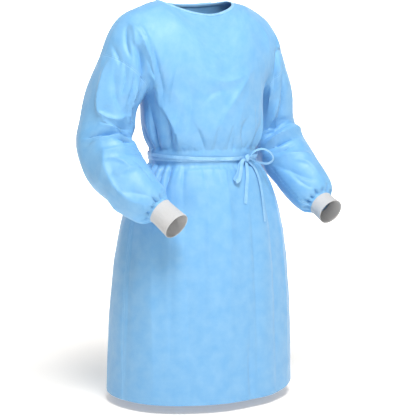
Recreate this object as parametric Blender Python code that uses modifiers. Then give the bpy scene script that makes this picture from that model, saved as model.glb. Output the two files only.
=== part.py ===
"""Isolation gown, worn and filled out with no wearer in it.

Metres, +Z up. The wearer faces -Y, so their right arm is at -X. The origin is on the shoulder
line, midway between the two high points of the shoulders, where a wearer's shoulders carry the gown.

The cloth is one coarse cage of sections, smoothed by a Subdivision Surface. The folds are soft ridges
and troughs set on it, and it is then cut along its seams into front, backs and sleeves, each a thin wall.
"""

import math

import bmesh
import bpy
import numpy as np
from mathutils.bvhtree import BVHTree

# The gown's driving sizes
HEM_Z = -1.12
BELT_Z = -0.4345
NECK_HALF_WIDTH = 0.135
NECK_FRONT_DROP = 0.054
NECK_FRONT_REACH = 0.083
NECK_BACK_DROP = 0.018
NECK_BACK_REACH = 0.062
CLOTH = 0.002
SEAM_GAP = 0.0004

# The cage: 24 columns round the body, 12 on the front and 12 on the back, and 8 round a sleeve
HALF = 12
ARM_COLUMNS = 8
YOKE_ROWS = 4
LEVEL = 3
STEP = 2**LEVEL

FRONT, BACK, SLEEVE_R, SLEEVE_L = range(4)

# Seam from the high point of the shoulder (column 4) out to the top of the armhole (column 0),
# with how far the cloth below it stands forward and back round the arm
SHOULDER = (
    # column, x on the right, x on the left, z, bulge, roundness: 1 where it goes half round the arm
    (0, 0.304, 0.282, -0.146, 0.088, 1.00),
    (1, 0.282, 0.262, -0.074, 0.062, 0.60),
    (2, 0.240, 0.226, -0.031, 0.030, 0.22),
    (3, 0.188, 0.184, -0.011, 0.010, 0.05),
    (4, 0.135, 0.135, 0.006, 0.000, 0.00),
)

# Sections of the body from the armpit down; the fourth is under the belt
TORSO = (
    # z, half width, front depth, back depth, centre y, squareness, side seams turned forward in degrees
    (-0.255, 0.184, 0.142, 0.128, -0.040, 2.15, 0),
    (-0.342, 0.187, 0.150, 0.138, -0.042, 2.20, 0),
    (-0.397, 0.179, 0.139, 0.128, -0.044, 2.15, 0),
    (BELT_Z, 0.152, 0.124, 0.115, -0.044, 2.10, 0),
    (-0.488, 0.196, 0.156, 0.144, -0.042, 2.10, 0),
    (-0.588, 0.234, 0.188, 0.175, -0.038, 2.10, 0),
    (-0.740, 0.259, 0.212, 0.196, -0.034, 2.10, 1),
    (-0.930, 0.274, 0.226, 0.210, -0.028, 2.10, 4),
    (HEM_Z, 0.282, 0.234, 0.220, -0.024, 2.10, 8),
)

# How much higher the hem rides on the wearer's left
HEM_LIFT = ((0, 0.0), (8, 0.0), (10, 0.010), (12, 0.014), (15, 0.008), (18, 0.0), (24, 0.0))

# Sections of the sleeves: centre, and the radius across (outwards) and fore and aft
ARM_R = (
    # x, y, z, across, fore
    (-0.268, 0.000, -0.260, 0.072, 0.090),
    (-0.276, 0.008, -0.302, 0.071, 0.088),
    (-0.281, 0.014, -0.345, 0.074, 0.086),
    (-0.297, 0.006, -0.390, 0.076, 0.085),
    (-0.303, -0.024, -0.430, 0.080, 0.084),
    (-0.298, -0.060, -0.463, 0.080, 0.080),
    (-0.288, -0.100, -0.497, 0.075, 0.076),
    (-0.271, -0.153, -0.544, 0.068, 0.068),
    (-0.240, -0.177, -0.563, 0.055, 0.055),
    (-0.234, -0.190, -0.572, 0.037, 0.037),
)
ARM_L = (
    (0.262, 0.000, -0.264, 0.065, 0.090),
    (0.268, 0.008, -0.306, 0.065, 0.088),
    (0.272, 0.014, -0.350, 0.070, 0.086),
    (0.277, 0.003, -0.393, 0.074, 0.084),
    (0.279, -0.035, -0.432, 0.076, 0.080),
    (0.285, -0.078, -0.470, 0.073, 0.075),
    (0.292, -0.120, -0.507, 0.070, 0.070),
    (0.297, -0.166, -0.545, 0.066, 0.066),
    (0.303, -0.195, -0.576, 0.056, 0.056),
    (0.305, -0.209, -0.584, 0.037, 0.037),
)
RING_GROWTH = 6 / (4 + 2 * math.cos(2 * math.pi / ARM_COLUMNS))

# The largest folds. Each runs through three places on the cloth; a place is piece, column, row.
# Height and width are in millimetres, and a height below zero is a trough. Lean above zero makes
# the fold steeper on the right of its path, seen from outside.
F, B, R, L = FRONT, BACK, SLEEVE_R, SLEEVE_L
FOLDS = (
    # from, through, to, height, width, lean
    # right shoulder and armpit
    ((F, 1.00, 1.5), (F, 0.40, 2.1), (R, 2.75, 0.5), -12, 13, 0.2),
    ((R, 2.75, 0.5), (R, 2.90, 1.7), (R, 3.10, 2.7), -10, 14, 0.0),
    ((F, 1.60, 1.0), (F, 1.40, 2.0), (F, 1.25, 4.4), 9, 13, 0.3),
    ((F, 2.00, 1.9), (F, 1.75, 2.6), (F, 1.70, 3.9), -6, 12, 0.0),
    ((R, 2.20, 0.6), (R, 2.40, 1.6), (R, 2.50, 2.8), 6, 12, 0.0),
    # chest
    ((F, 3.60, 3.7), (F, 3.60, 4.6), (F, 2.75, 6.3), -5, 20, 0.3),
    ((F, 1.40, 4.4), (F, 2.40, 5.3), (F, 2.50, 6.4), 5, 14, 0.0),
    ((F, 1.75, 4.7), (F, 2.00, 5.6), (F, 1.55, 6.5), -6, 12, 0.0),
    ((F, 0.30, 4.6), (F, 0.37, 5.6), (F, 0.30, 6.5), -7, 14, 0.0),
    ((F, 4.00, 5.3), (F, 4.25, 5.8), (F, 4.40, 6.5), -4, 12, 0.0),
    ((F, 7.10, 5.0), (F, 6.90, 5.6), (F, 7.50, 6.6), -4, 11, 0.0),
    ((F, 5.00, 3.4), (F, 6.00, 3.5), (F, 7.40, 3.3), 4, 16, -0.3),
    ((F, 7.40, 3.4), (F, 6.40, 4.1), (F, 5.60, 4.8), 4, 18, 0.0),
    # left armpit
    ((F, 10.9, 1.7), (F, 11.5, 2.4), (L, 2.70, 0.5), -7, 13, 0.0),
    ((L, 2.00, 0.2), (L, 2.35, 2.1), (L, 3.20, 4.8), -7, 12, 0.0),
    ((L, 2.40, 1.2), (L, 2.65, 2.7), (L, 3.00, 4.3), 6, 11, 0.0),
    # right upper arm, elbow and forearm
    ((R, 0.40, 0.3), (R, 0.60, 1.6), (R, 0.90, 2.3), 6, 12, 0.0),
    ((R, 0.80, 2.2), (R, 1.40, 2.5), (R, 2.10, 2.2), 5, 11, 0.0),
    ((R, 0.90, 0.5), (R, 1.30, 1.2), (R, 1.80, 1.8), -5, 18, 0.0),
    ((R, 1.00, 2.4), (R, 1.50, 3.5), (R, 2.60, 4.0), 5, 12, 0.0),
    ((R, 0.35, 4.3), (R, 1.40, 4.5), (R, 2.90, 4.4), -9, 10, 0.2),
    ((R, 0.60, 4.9), (R, 1.60, 5.0), (R, 2.90, 4.9), 6, 11, 0.0),
    ((R, 1.60, 5.4), (R, 2.20, 5.6), (R, 3.10, 5.5), -7, 10, 0.0),
    ((R, 0.90, 5.6), (R, 1.60, 5.9), (R, 2.80, 6.0), 5, 12, 0.0),
    ((R, 1.40, 6.4), (R, 2.00, 6.4), (R, 3.00, 6.4), -4, 11, 0.0),
    ((R, 1.00, 5.5), (R, 0.40, 7.2), (R, 0.60, 8.5), 5, 15, 0.0),
    ((R, 0.70, 6.9), (R, 1.30, 7.1), (R, 1.90, 7.2), 4, 12, 0.0),
    ((R, 4.60, 4.2), (R, 5.60, 4.4), (R, 6.60, 4.1), -5, 13, 0.0),
    # left elbow and forearm
    ((L, 3.40, 4.5), (L, 2.30, 4.4), (L, 1.00, 4.0), -5, 12, 0.0),
    ((L, 3.70, 5.0), (L, 2.40, 5.1), (L, 0.80, 4.6), 9, 13, 0.2),
    ((L, 3.60, 5.4), (L, 2.80, 5.6), (L, 1.60, 5.5), -8, 11, 0.0),
    ((L, 3.00, 6.2), (L, 2.40, 6.5), (L, 1.60, 6.8), 5, 13, 0.0),
    ((L, 3.60, 6.6), (L, 3.00, 7.6), (L, 2.50, 8.2), -5, 15, 0.0),
    ((L, 4.60, 4.1), (L, 5.60, 4.3), (L, 6.60, 4.0), -5, 13, 0.0),
    # broad folds down the skirt
    ((B, 0.20, 8.0), (F, 0.20, 9.6), (F, 0.10, 12.), -5, 26, 0.0),
    ((F, 1.60, 8.4), (F, 1.80, 9.8), (F, 1.90, 12.), 5, 32, 0.0),
    ((F, 3.10, 8.3), (F, 3.50, 10.), (F, 3.60, 12.), -6, 34, 0.0),
    ((F, 5.80, 7.5), (F, 5.60, 9.0), (F, 5.30, 12.), 6, 40, 0.0),
    ((F, 8.20, 8.0), (F, 8.10, 10.), (F, 8.00, 12.), -7, 34, 0.0),
    ((F, 10.1, 8.0), (F, 10.2, 10.), (F, 10.3, 12.), 6, 36, 0.0),
    ((B, 11.6, 8.0), (B, 11.4, 10.), (B, 11.5, 12.), -8, 32, 0.0),
    ((B, 9.30, 7.8), (B, 9.10, 10.), (B, 9.00, 12.), -9, 34, 0.0),
    ((B, 7.80, 8.0), (B, 7.70, 10.), (B, 7.60, 12.), 6, 34, 0.0),
    ((B, 4.00, 7.8), (B, 4.20, 10.), (B, 4.20, 12.), -9, 34, 0.0),
    ((B, 2.20, 8.0), (B, 2.10, 10.), (B, 2.20, 12.), 7, 36, 0.0),
)

# Gathers at the belt that reach up the body and down the skirt
WAIST_GATHERS = (
    # piece, column, depth above, depth below, how far their ends swing in columns
    (F, 1.15, 0, 9, 0.15), (F, 2.20, 0, 7, 0.10), (F, 2.85, 0, 5, 0.15), (F, 4.20, 0, 6, 0.30),
    (F, 5.15, 3, 4, 0.10), (F, 6.40, 3, 4, -0.1), (F, 8.60, 5, 6, 0.20), (F, 9.60, 6, 7, -0.1),
    (F, 10.6, 6, 8, 0.10), (F, 11.5, 7, 7, -0.1), (B, 0.30, 6, 8, 0.30), (B, 1.30, 7, 6, 0.10),
    (B, 2.35, 6, 8, -0.1), (B, 3.30, 8, 7, 0.20), (B, 4.40, 6, 8, 0.10), (B, 5.50, 6, 7, -0.1),
    (B, 6.50, 7, 8, 0.10), (B, 7.55, 8, 7, -0.1), (B, 8.60, 6, 8, -0.2), (B, 9.60, 7, 8, 0.10),
    (B, 10.7, 7, 7, -0.2), (B, 11.6, 6, 8, -0.1),
)
GATHER_WIDTH = 10

# Gathers where a sleeve meets its cuff
CUFF_GATHERS = (
    # column, depth, row it starts from
    (0.15, 4.0, 9.0), (0.70, 3.2, 9.2), (1.25, 4.6, 8.8), (1.80, 3.6, 9.1), (2.40, 4.2, 8.9),
    (2.95, 3.2, 9.2), (3.50, 4.2, 9.0), (4.10, 3.4, 9.1), (4.65, 4.4, 8.9), (5.20, 3.4, 9.2),
    (5.80, 4.4, 8.9), (6.35, 3.2, 9.1), (6.90, 4.2, 9.0), (7.50, 3.6, 9.1),
)
CUFF_GATHER_WIDTH = 5.5

# The belt goes twice round. BELT_ROW is the cage row it lies on, and PRESSED how far it flattens the cloth.
BELT_ROW = 7
PRESSED = 0.36
BELT_TAPE = 0.0012
BELT_WIDTH = 0.0100
KNOT_COLUMN = 7.45
BELT_TURNS = (
    # name, height at the right side seam, height at the knot, how far out of the first turn, start, end
    ("belt_lower", -0.0052, -0.0045, 0.0, 7.54, 31.36),
    ("belt_upper", 0.0052, -0.0065, 0.0016, 7.52, 31.38),
)

# How far the belt stands out to pass over the lapped backs, by column from the left side seam
OVER_THE_OVERLAP = ((3.0, 0.0), (4.8, 0.0017), (7.2, 0.0017), (8.6, 0.0))

# Where a free edge of the back lies, and how far the two backs stand apart where they overlap
RIGHT_BACK_EDGE = 7
LEFT_BACK_EDGE = 5
OVERLAP = ((0.0, 0.0039), (0.4, 0.0037), (1.5, 0.0016), (12.0, 0.0016))

# Rows and columns of the smooth cloth that the solids use. Columns are closer where the gathers are.
BODY_ROWS = (
    # row, how many eighths of a column between points
    (0, 2), (0.125, 2), (0.375, 2), (0.75, 2), (1.25, 2), (2, 2), (2.5, 2), (3, 2), (3.5, 2), (4, 2),
    (5, 2), (5.75, 2), (6.25, 2), (6.625, 2), (7, 2), (7.375, 2), (7.75, 2), (8.25, 2), (9, 4), (10, 4),
    (11, 4), (12, 4),
)
SLEEVE_ROWS = (
    (0, 0), (0.75, 2), (2, 2), (3, 2), (4, 2), (4.5, 2), (5, 2), (5.5, 2), (6, 2), (7, 2), (8, 2),
    (8.75, 1), (9.25, 1), (9.625, 1), (10, 1),
)

# Knit cuffs: share of the length and size beside the sleeve's end. The left sleeve covers more of its cuff.
CUFF = ((0.0, 1.0), (0.09, 0.965), (0.46, 0.985), (0.96, 1.03), (1.0, 1.035))
CUFF_ENDS = (
    # axis and length
    ((0.264, -0.797, -0.540), 0.070),
    ((0.070, -0.890, -0.450), 0.047),
)

# Binding round the neck
BINDING = 0.0008
BINDING_WIDTH = 0.0070
BINDING_ROOM = 0.0007
BINDING_FLARE = 0.0011

# The loop that stands free of the skirt, in millimetres from the knot: along the belt, out from it, and up
FREE_LOOP = (
    (10.8, 5.5, 3), (24, 13, 18), (44, 26, 24), (63, 38, 14), (71, 44, -1),
    (66, 42, -13), (50, 33, -18), (28, 20, -12), (10.8, 7.5, -3),
)
FREE_LOOP_TURN = -0.7
TAPE_WIDTH = 0.0120
DRAWN_IN = (0.40, 0.60, 0.85)
HANGING = (
    # name, the columns and rows of the cloth it hangs on, and how far it stands off it in millimetres
    ("bow_loop_left", ((7.195, 7.13, 7.5), (6.86, 7.50, 6), (6.35, 7.88, 4), (6.06, 8.05, 4), (6.02, 8.14, 8),
                       (6.16, 8.10, 12), (6.45, 7.88, 13), (6.90, 7.46, 13), (7.195, 7.18, 10.5))),
    ("tail_short", ((7.34, 7.38, 9.2), (7.24, 7.6, 6), (6.98, 8.0, 3), (6.72, 8.35, 2), (6.50, 8.75, 1))),
    ("tail_long", ((7.60, 7.33, 6.5), (7.92, 7.64, 4), (7.98, 8.1, 3), (7.80, 8.6, 2), (7.62, 9.2, 1))),
)
KNOT = ((-9, 0.5), (-8, 0.8), (-4, 1.0), (4, 1.0), (8, 0.8), (9, 0.5))
KNOT_HEIGHT = 0.020
KNOT_DEPTH = 0.011
KNOT_DROP = 0.0055

# Thread loops at the side seams that hold the belt up: out from the cloth, and up from the belt's middle
BELT_LOOP = ((0.0, 24), (6.5, 21), (10.0, 12), (10.0, -12), (6.5, -21), (0.0, -24))
BELT_LOOP_WIDTH = 0.003
BELT_LOOP_DEPTH = 0.0012

# Closure at the back of the neck
TAB_COLUMNS = ((6.25, 1), (6.6, 1), (6.94, 1), (7.09, 0.9), (7.27, 0.2), (7.42, 0), (7.75, 0))
TAB_ROWS = (0.55, 0.9, 1.2)
TAB_THICKNESS = 0.001


def signed_power(value, power):
    """value to a power, keeping its sign."""
    return math.copysign(abs(value) ** power, value)


def torso_point(row, column):
    """A point of a body section. Column 0 is the right side seam, 6 the middle of the front."""
    z, half_width, front, back, centre_y, square, turned = TORSO[row]
    if row == len(TORSO) - 1:
        z += np.interp(column, *zip(*HEM_LIFT))
    seam = math.radians(turned)
    if column <= HALF:
        angle = seam + (math.pi - 2 * seam) * column / HALF
    else:
        angle = math.pi - seam + (math.pi + 2 * seam) * (column / HALF - 1)
    depth = front if math.sin(angle) > 0 else back
    x = -half_width * signed_power(math.cos(angle), 2 / square)
    y = centre_y - depth * signed_power(math.sin(angle), 2 / square)
    return x, y, z


def yoke_top(column, facing):
    """Where a column starts: on the shoulder seam or the neckline. facing is -1 in front, 1 behind."""
    side = -1 if column <= HALF // 2 else 1
    inward = min(column, HALF - column)
    if inward < len(SHOULDER):
        _, right, left, z, bulge, roundness = SHOULDER[inward]
        return np.array((-right if side < 0 else left, 0.0, z)), bulge, roundness
    turn = (inward - 4) / 2 * math.pi / 2
    reach, drop = (NECK_FRONT_REACH, NECK_FRONT_DROP) if facing < 0 else (NECK_BACK_REACH, NECK_BACK_DROP)
    x = side * NECK_HALF_WIDTH * math.cos(turn)
    top = SHOULDER[4][3]
    return np.array((x, facing * reach * math.sin(turn), top - drop * math.sin(turn) ** 2)), 0.0, 0.0


def yoke_point(row, column, facing):
    """A point between the shoulder and the armpit's level."""
    top, bulge, roundness = yoke_top(column, facing)
    bottom = np.array(torso_point(0, column if facing < 0 else 2 * HALF - column))
    t = row / YOKE_ROWS
    quarter, half = 1 - math.cos(math.pi * t / 2), (1 - math.cos(math.pi * t)) / 2
    inward = min(column, HALF - column)
    neck = max(0.0, (inward - 4) / 2)
    fall = roundness * half + (1 - roundness) * (quarter * (1 - neck) + t * neck)
    across = roundness * half + (1 - roundness) * t**1.5
    forward = math.sin(math.pi * t / 2)
    x = top[0] + (bottom[0] - top[0]) * across
    y = top[1] + (bottom[1] - top[1]) * forward + facing * bulge * math.sin(math.pi * t)
    z = top[2] + (bottom[2] - top[2]) * fall
    return x, y, z


def arm_rings(arm, side):
    """The cage's rings along a sleeve, 8 points each: outside, front, inside, back."""
    centres = np.array([row[:3] for row in arm])
    start = np.array((side * 0.230, 0.0, -0.200))
    line = np.vstack((start, centres))
    fore = np.array((0.0, -1.0, 0.0))
    rings = []
    for n in range(1, len(line)):
        tangent = line[min(n + 1, len(line) - 1)] - line[n - 1]
        tangent /= np.linalg.norm(tangent)
        fore = fore - tangent * fore.dot(tangent)
        fore /= np.linalg.norm(fore)
        outward = np.cross(fore, tangent) * side
        _, _, _, across, deep = arm[n - 1]
        turns = [2 * math.pi * k / ARM_COLUMNS for k in range(ARM_COLUMNS)]
        rings.append([
            line[n] + RING_GROWTH * (across * math.cos(a) * outward + deep * math.sin(a) * fore)
            for a in turns
        ])
    return rings


def cage():
    """The whole garment's coarse cage as one mesh: quads, each marked with its piece and place in it."""
    mesh = bmesh.new()
    chart = mesh.loops.layers.uv.new("chart")
    rows = YOKE_ROWS + len(TORSO)
    front = [[None] * (HALF + 1) for _ in range(rows)]
    back = [[None] * (HALF + 1) for _ in range(rows)]
    for row in range(rows):
        for column in range(HALF + 1):
            if row < YOKE_ROWS:
                front[row][column] = mesh.verts.new(yoke_point(row, column, -1))
                shared = row == 0 and min(column, HALF - column) <= 4
                point = yoke_point(row, column, 1)
            else:
                front[row][column] = mesh.verts.new(torso_point(row - YOKE_ROWS, column))
                shared = column in (0, HALF)
                point = torso_point(row - YOKE_ROWS, 2 * HALF - column)
            back[row][column] = front[row][column] if shared else mesh.verts.new(point)

    def face(corners, places, piece, flip):
        if flip:
            corners, places = corners[::-1], places[::-1]
        made = mesh.faces.new(corners)
        made.material_index = piece
        for loop, place in zip(made.loops, places):
            loop[chart].uv = place

    def patch(grid, piece, flip):
        for row in range(len(grid) - 1):
            for column in range(len(grid[0]) - 1):
                places = [(column, row), (column, row + 1), (column + 1, row + 1), (column + 1, row)]
                face([grid[r][c] for c, r in places], places, piece, flip)

    patch(front, FRONT, False)
    patch(back, BACK, True)
    for arm, side, piece in ((ARM_R, -1, SLEEVE_R), (ARM_L, 1, SLEEVE_L)):
        edge = 0 if side < 0 else HALF
        loop = [front[r][edge] for r in range(YOKE_ROWS + 1)]
        loop += [back[r][edge] for r in range(YOKE_ROWS - 1, 0, -1)]
        grid = [loop + loop[:1]]
        for ring in arm_rings(arm, side):
            made = [mesh.verts.new(p) for p in ring]
            grid.append(made + made[:1])
        patch(grid, piece, side > 0)
    shape = bpy.data.meshes.new("cage")
    mesh.to_mesh(shape)
    mesh.free()
    return bpy.data.objects.new("cage", shape)


def smooth_form(levels):
    """The cage smoothed: the mesh, and for each piece the index of the vertex at each place of its grid."""
    guide = cage()
    bpy.context.scene.collection.objects.link(guide)
    smoother = guide.modifiers.new("smooth", "SUBSURF")
    smoother.levels = smoother.render_levels = levels
    smoother.uv_smooth = "NONE"
    graph = bpy.context.evaluated_depsgraph_get()
    form = bpy.data.meshes.new_from_object(guide.evaluated_get(graph))
    bpy.data.objects.remove(guide)
    fine = 2**levels
    sizes = [(HALF, YOKE_ROWS + len(TORSO) - 1)] * 2 + [(ARM_COLUMNS, len(ARM_R))] * 2
    grids = [np.full((w * fine + 1, h * fine + 1), -1) for w, h in sizes]
    places = form.uv_layers["chart"].data
    for polygon in form.polygons:
        grid = grids[polygon.material_index]
        for corner in polygon.loop_indices:
            u, v = places[corner].uv
            grid[round(u * fine), round(v * fine)] = form.loops[corner].vertex_index
    return form, grids


def coordinates(mesh):
    values = np.empty(len(mesh.vertices) * 3)
    mesh.vertices.foreach_get("co", values)
    return values.reshape(-1, 3)


def normals_of(mesh):
    mesh.update()
    values = np.empty(len(mesh.vertices) * 3)
    mesh.vertex_normals.foreach_get("vector", values)
    return values.reshape(-1, 3)


def sample(values, grid, column, row):
    """values read at a place between the grid's vertices. Columns and rows are the cage's."""
    u = min(max(column * STEP, 0), grid.shape[0] - 1.001)
    v = min(max(row * STEP, 0), grid.shape[1] - 1.001)
    i, j = int(u), int(v)
    a, b = u - i, v - j
    near = values[grid[i, j]] * (1 - a) + values[grid[i + 1, j]] * a
    far = values[grid[i, j + 1]] * (1 - a) + values[grid[i + 1, j + 1]] * a
    return near * (1 - b) + far * b


def fold_height(points, normals, path, facing, height, width, lean):
    """How far each point rises for one fold: a soft ridge along the path that dies away at both ends."""
    reach = 3 * width * (1 + abs(lean))
    near = np.all((points > path.min(0) - reach) & (points < path.max(0) + reach), axis=1).nonzero()[0]
    rise = np.zeros(len(points))
    if not len(near):
        return rise
    p, n = points[near], normals[near]
    starts, steps = path[:-1], np.diff(path, axis=0)
    offsets = p[:, None, :] - starts[None]
    along = np.clip((offsets * steps).sum(2) / (steps**2).sum(1), 0, 1)
    gaps = offsets - along[..., None] * steps
    distance = np.sqrt((gaps**2).sum(2))
    nearest = distance.argmin(1)
    rows = np.arange(len(near))
    gap, step = gaps[rows, nearest], steps[nearest]
    place = (nearest + along[rows, nearest]) / len(steps)
    right = np.cross(step, facing[nearest])
    side = np.sign((gap * right).sum(1))
    spread = width * (1 - lean * side)
    taper = np.sin(math.pi * np.clip(0.06 + 0.88 * place, 0, 1)) ** 0.7
    same_side = np.clip((n * facing[nearest]).sum(1) * 2, 0, 1)
    rise[near] = height * np.exp(-((distance[rows, nearest] / spread) ** 2)) * taper * same_side
    return rise


def fold_path(points, normals, grids, places, count=12):
    """The points and facings along a fold that runs through three places."""
    line, facing = [], []
    first, middle, last = [
        (sample(points, grids[k], u, v), sample(normals, grids[k], u, v)) for k, u, v in places
    ]
    for n in range(count + 1):
        t = n / count
        weights = ((1 - t) * (1 - 2 * t), 4 * t * (1 - t), t * (2 * t - 1))
        line.append(sum(w * p[0] for w, p in zip(weights, (first, middle, last))))
        facing.append(sum(w * p[1] for w, p in zip(weights, (first, middle, last))))
    return np.array(line), np.array(facing)


def all_folds():
    """Every fold of the tables as places, height, width and lean."""
    folds = list(FOLDS)
    for piece, column, above, below, swing in WAIST_GATHERS:
        if above:
            places = [(piece, column, 6.75), (piece, column, 6.2), (piece, column + swing, 5.3)]
            folds.append((*places, -above, GATHER_WIDTH, 0.0))
        if below:
            places = [(piece, column, 7.25), (piece, column, 7.7), (piece, column + swing, 8.5)]
            folds.append((*places, -below, GATHER_WIDTH, 0.0))
    for piece, turn in ((SLEEVE_R, 0.0), (SLEEVE_L, 0.3)):
        for column, depth, row in CUFF_GATHERS:
            u = (column + turn) % ARM_COLUMNS
            places = [(piece, u, row), (piece, u, (row + 10) / 2), (piece, u, 9.98)]
            folds.append((*places, -depth, CUFF_GATHER_WIDTH, 0.0))
    return folds


def press_under_belt(points, grids):
    """Flattens the cloth under the belt, so its width there is the waist's."""
    for grid in grids[:2]:
        rows = np.arange(grid.shape[1]) / STEP
        away = np.abs(rows - BELT_ROW)
        pressed = 1 - np.clip((away - PRESSED) / 0.3, 0, 1)
        pressed = pressed**2 * (3 - 2 * pressed)
        waist = points[grid[:, BELT_ROW * STEP]][:, None, :2]
        cloth = points[grid]
        cloth[..., :2] += (waist - cloth[..., :2]) * pressed[None, :, None]
        points[grid] = cloth


def folded_form():
    """The garment's middle surface with its folds: points, normals, and each piece's grid."""
    mesh, grids = smooth_form(LEVEL)
    points, normals = coordinates(mesh), normals_of(mesh)
    press_under_belt(points, grids)
    rise = np.zeros(len(points))
    for *places, height, width, lean in all_folds():
        path, facing = fold_path(points, normals, grids, places)
        rise += fold_height(points, normals, path, facing, height / 1000, width / 1000, lean)
    for grid in grids[:2]:
        away = np.abs(np.arange(grid.shape[1]) / STEP - BELT_ROW)
        rise[grid] *= np.clip((away - PRESSED) / 0.25, 0, 1)[None, :]
    for grid in grids[2:]:
        rows = np.arange(grid.shape[1]) / STEP
        rise[grid] *= np.clip((len(ARM_R) - rows) / 0.25, 0, 1)[None, :]
    points += normals * rise[:, None]
    mesh.vertices.foreach_set("co", points.ravel())
    return points, normals_of(mesh), grids


def skin_faces(rows):
    """Polygons between rows of a panel. A row is (row, columns); neighbours meet at shared columns."""
    faces = []
    for (upper, over), (lower, under) in zip(rows, rows[1:]):
        shared = sorted(set(over) & set(under))
        for left, right in zip(shared, shared[1:]):
            top = [(c, upper) for c in over if left <= c <= right]
            bottom = [(c, lower) for c in under if left <= c <= right]
            faces.append(bottom + top[::-1])
    return faces


def solid(name, skins, material, wrap=None):
    """A closed wall from polygons of keys and a function giving each key's outer and inner point."""
    faces, place = skins
    mesh = bmesh.new()
    made = {}

    def vertex(key, side):
        if wrap and key[0] == wrap:
            key = (0, key[1])
        if (key, side) not in made:
            made[key, side] = mesh.verts.new(place(key)[side])
        return made[key, side]

    edges = {}
    for keys in faces:
        for side in (0, 1):
            corners = [vertex(k, side) for k in keys]
            mesh.faces.new(corners if side == 0 else corners[::-1])
        for a, b in zip(keys, keys[1:] + keys[:1]):
            ends = (vertex(a, 0), vertex(b, 0))
            edges.setdefault(frozenset(ends), []).append((ends, (vertex(a, 1), vertex(b, 1))))
    for uses in edges.values():
        if len(uses) == 1:
            (a, b), (inner_a, inner_b) = uses[0]
            mesh.faces.new((b, a, inner_a, inner_b))
    return finish(name, mesh, material)


def finish(name, mesh, material):
    """Turns a closed mesh into a named object facing outwards."""
    bmesh.ops.triangulate(mesh, faces=mesh.faces[:], quad_method="SHORT_EDGE")
    bmesh.ops.recalc_face_normals(mesh, faces=mesh.faces[:])
    shape = bpy.data.meshes.new(name)
    mesh.to_mesh(shape)
    mesh.free()
    shape.materials.append(material)
    made = bpy.data.objects.new(name, shape)
    PARTS.objects.link(made)
    return made


def panel(name, form, piece, rows, material, first=0, last=None, offset=None, wrap=None):
    """One cut piece of the garment as a wall, a seam's gap inside the edges its neighbours share."""
    points, normals, grids = form
    grid = grids[piece]
    width = grid.shape[0] - 1
    last = width if last is None else last
    table = []
    for row, step in rows:
        columns = step if isinstance(step, list) else list(range(0, width + 1, step))
        table.append((round(row * STEP), [c for c in columns if first <= c <= last]))
    top, bottom = table[0][0], table[-1][0]

    def place(key):
        column, row = key
        point, normal = points[grid[column, row]], normals[grid[column, row]]
        middle = point.copy()
        inward = [(column == first and not wrap, 1, 0), (column == last and not wrap, -1, 0),
                  (row == top, 0, 1), (row == bottom, 0, -1)]
        for at_edge, du, dv in inward:
            if at_edge:
                step = points[grid[column + du, row + dv]] - point
                middle += step / np.linalg.norm(step) * SEAM_GAP / 2
        out = offset(column / STEP, row / STEP) if offset else 0.0
        return middle + normal * (out + CLOTH / 2), middle + normal * (out - CLOTH / 2)

    return solid(name, (skin_faces(table), place), material, wrap)


def overlap_offset(side):
    """How far a back stands out of the middle surface: the right back outside the left one."""
    def offset(column, row):
        inward = column if side > 0 else HALF - column
        blend = min(max((inward - 4.1) / 0.9, 0.0), 1.0)
        return side * np.interp(row, *zip(*OVERLAP)) * blend**2 * (3 - 2 * blend)
    return offset


def sweep(name, sections, material, closed=False):
    """A solid through sections of equal count, with flat ends unless it is closed."""
    mesh = bmesh.new()
    rings = [[mesh.verts.new(p) for p in section] for section in sections]
    count = len(rings[0])
    pairs = list(zip(rings, rings[1:] + rings[:1])) if closed else list(zip(rings, rings[1:]))
    for near, far in pairs:
        for k in range(count):
            mesh.faces.new((near[k], near[(k + 1) % count], far[(k + 1) % count], far[k]))
    if not closed:
        mesh.faces.new(rings[0])
        mesh.faces.new(rings[-1][::-1])
    return finish(name, mesh, material)


def unit(vector):
    return vector / np.linalg.norm(vector)


def tape(path, widths, facings, width, thick):
    """Sections of a flat tape: the path, its width directions and its outward directions. Width may vary."""
    sections = []
    sizes = width if isinstance(width, list) else [width] * len(path)
    for p, w, f, size in zip(path, widths, facings, sizes):
        w, f = unit(w) * size / 2, unit(f) * thick / 2
        sections.append([p - w - f, p + w - f, p + w + f, p - w + f])
    return sections


def smooth_path(points, per_span):
    """Points along a smooth curve through the given ones."""
    points = [2 * points[0] - points[1], *points, 2 * points[-1] - points[-2]]
    line = []
    for a, b, c, d in zip(points, points[1:], points[2:], points[3:]):
        for n in range(per_span):
            t = n / per_span
            line.append(0.5 * (2 * b + (c - a) * t + (2 * a - 5 * b + 4 * c - d) * t**2
                               + (3 * b - a - 3 * c + d) * t**3))
    return line + [points[-2]]


def round_body(values, form, column, row):
    """values at a place counted right round the body: 0 to 12 in front, 12 to 24 behind."""
    column %= 2 * HALF
    if column <= HALF:
        return sample(values, form[2][FRONT], column, row)
    return sample(values, form[2][BACK], 2 * HALF - column, row)


def make_cuff(name, form, piece, end, material):
    """A knit tube that carries on from the end of a sleeve, its mouth square to its axis."""
    points, _, grids = form
    axis, length = end
    ring = points[grids[piece][: ARM_COLUMNS * STEP, -1]][::2]
    normals = form[1][grids[piece][: ARM_COLUMNS * STEP, -1]][::2]
    middle, axis = ring.mean(0), unit(np.array(axis))
    out = [unit(p - middle - axis * axis.dot(p - middle)) for p in ring]
    rows = [(n, list(range(len(ring) + 1))) for n in range(len(CUFF))]

    def place(key):
        column, row = key
        share, size = CUFF[row]
        k = column % len(ring)
        spoke = out[k] if row else normals[k]
        offset = (ring[k] - middle) * size
        offset -= axis * axis.dot(offset) * share
        point = middle + offset + axis * (share * length + 0.0003)
        return point + spoke * CLOTH / 2, point - spoke * CLOTH / 2

    return solid(name, (skin_faces(rows), place), material, len(ring))


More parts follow.
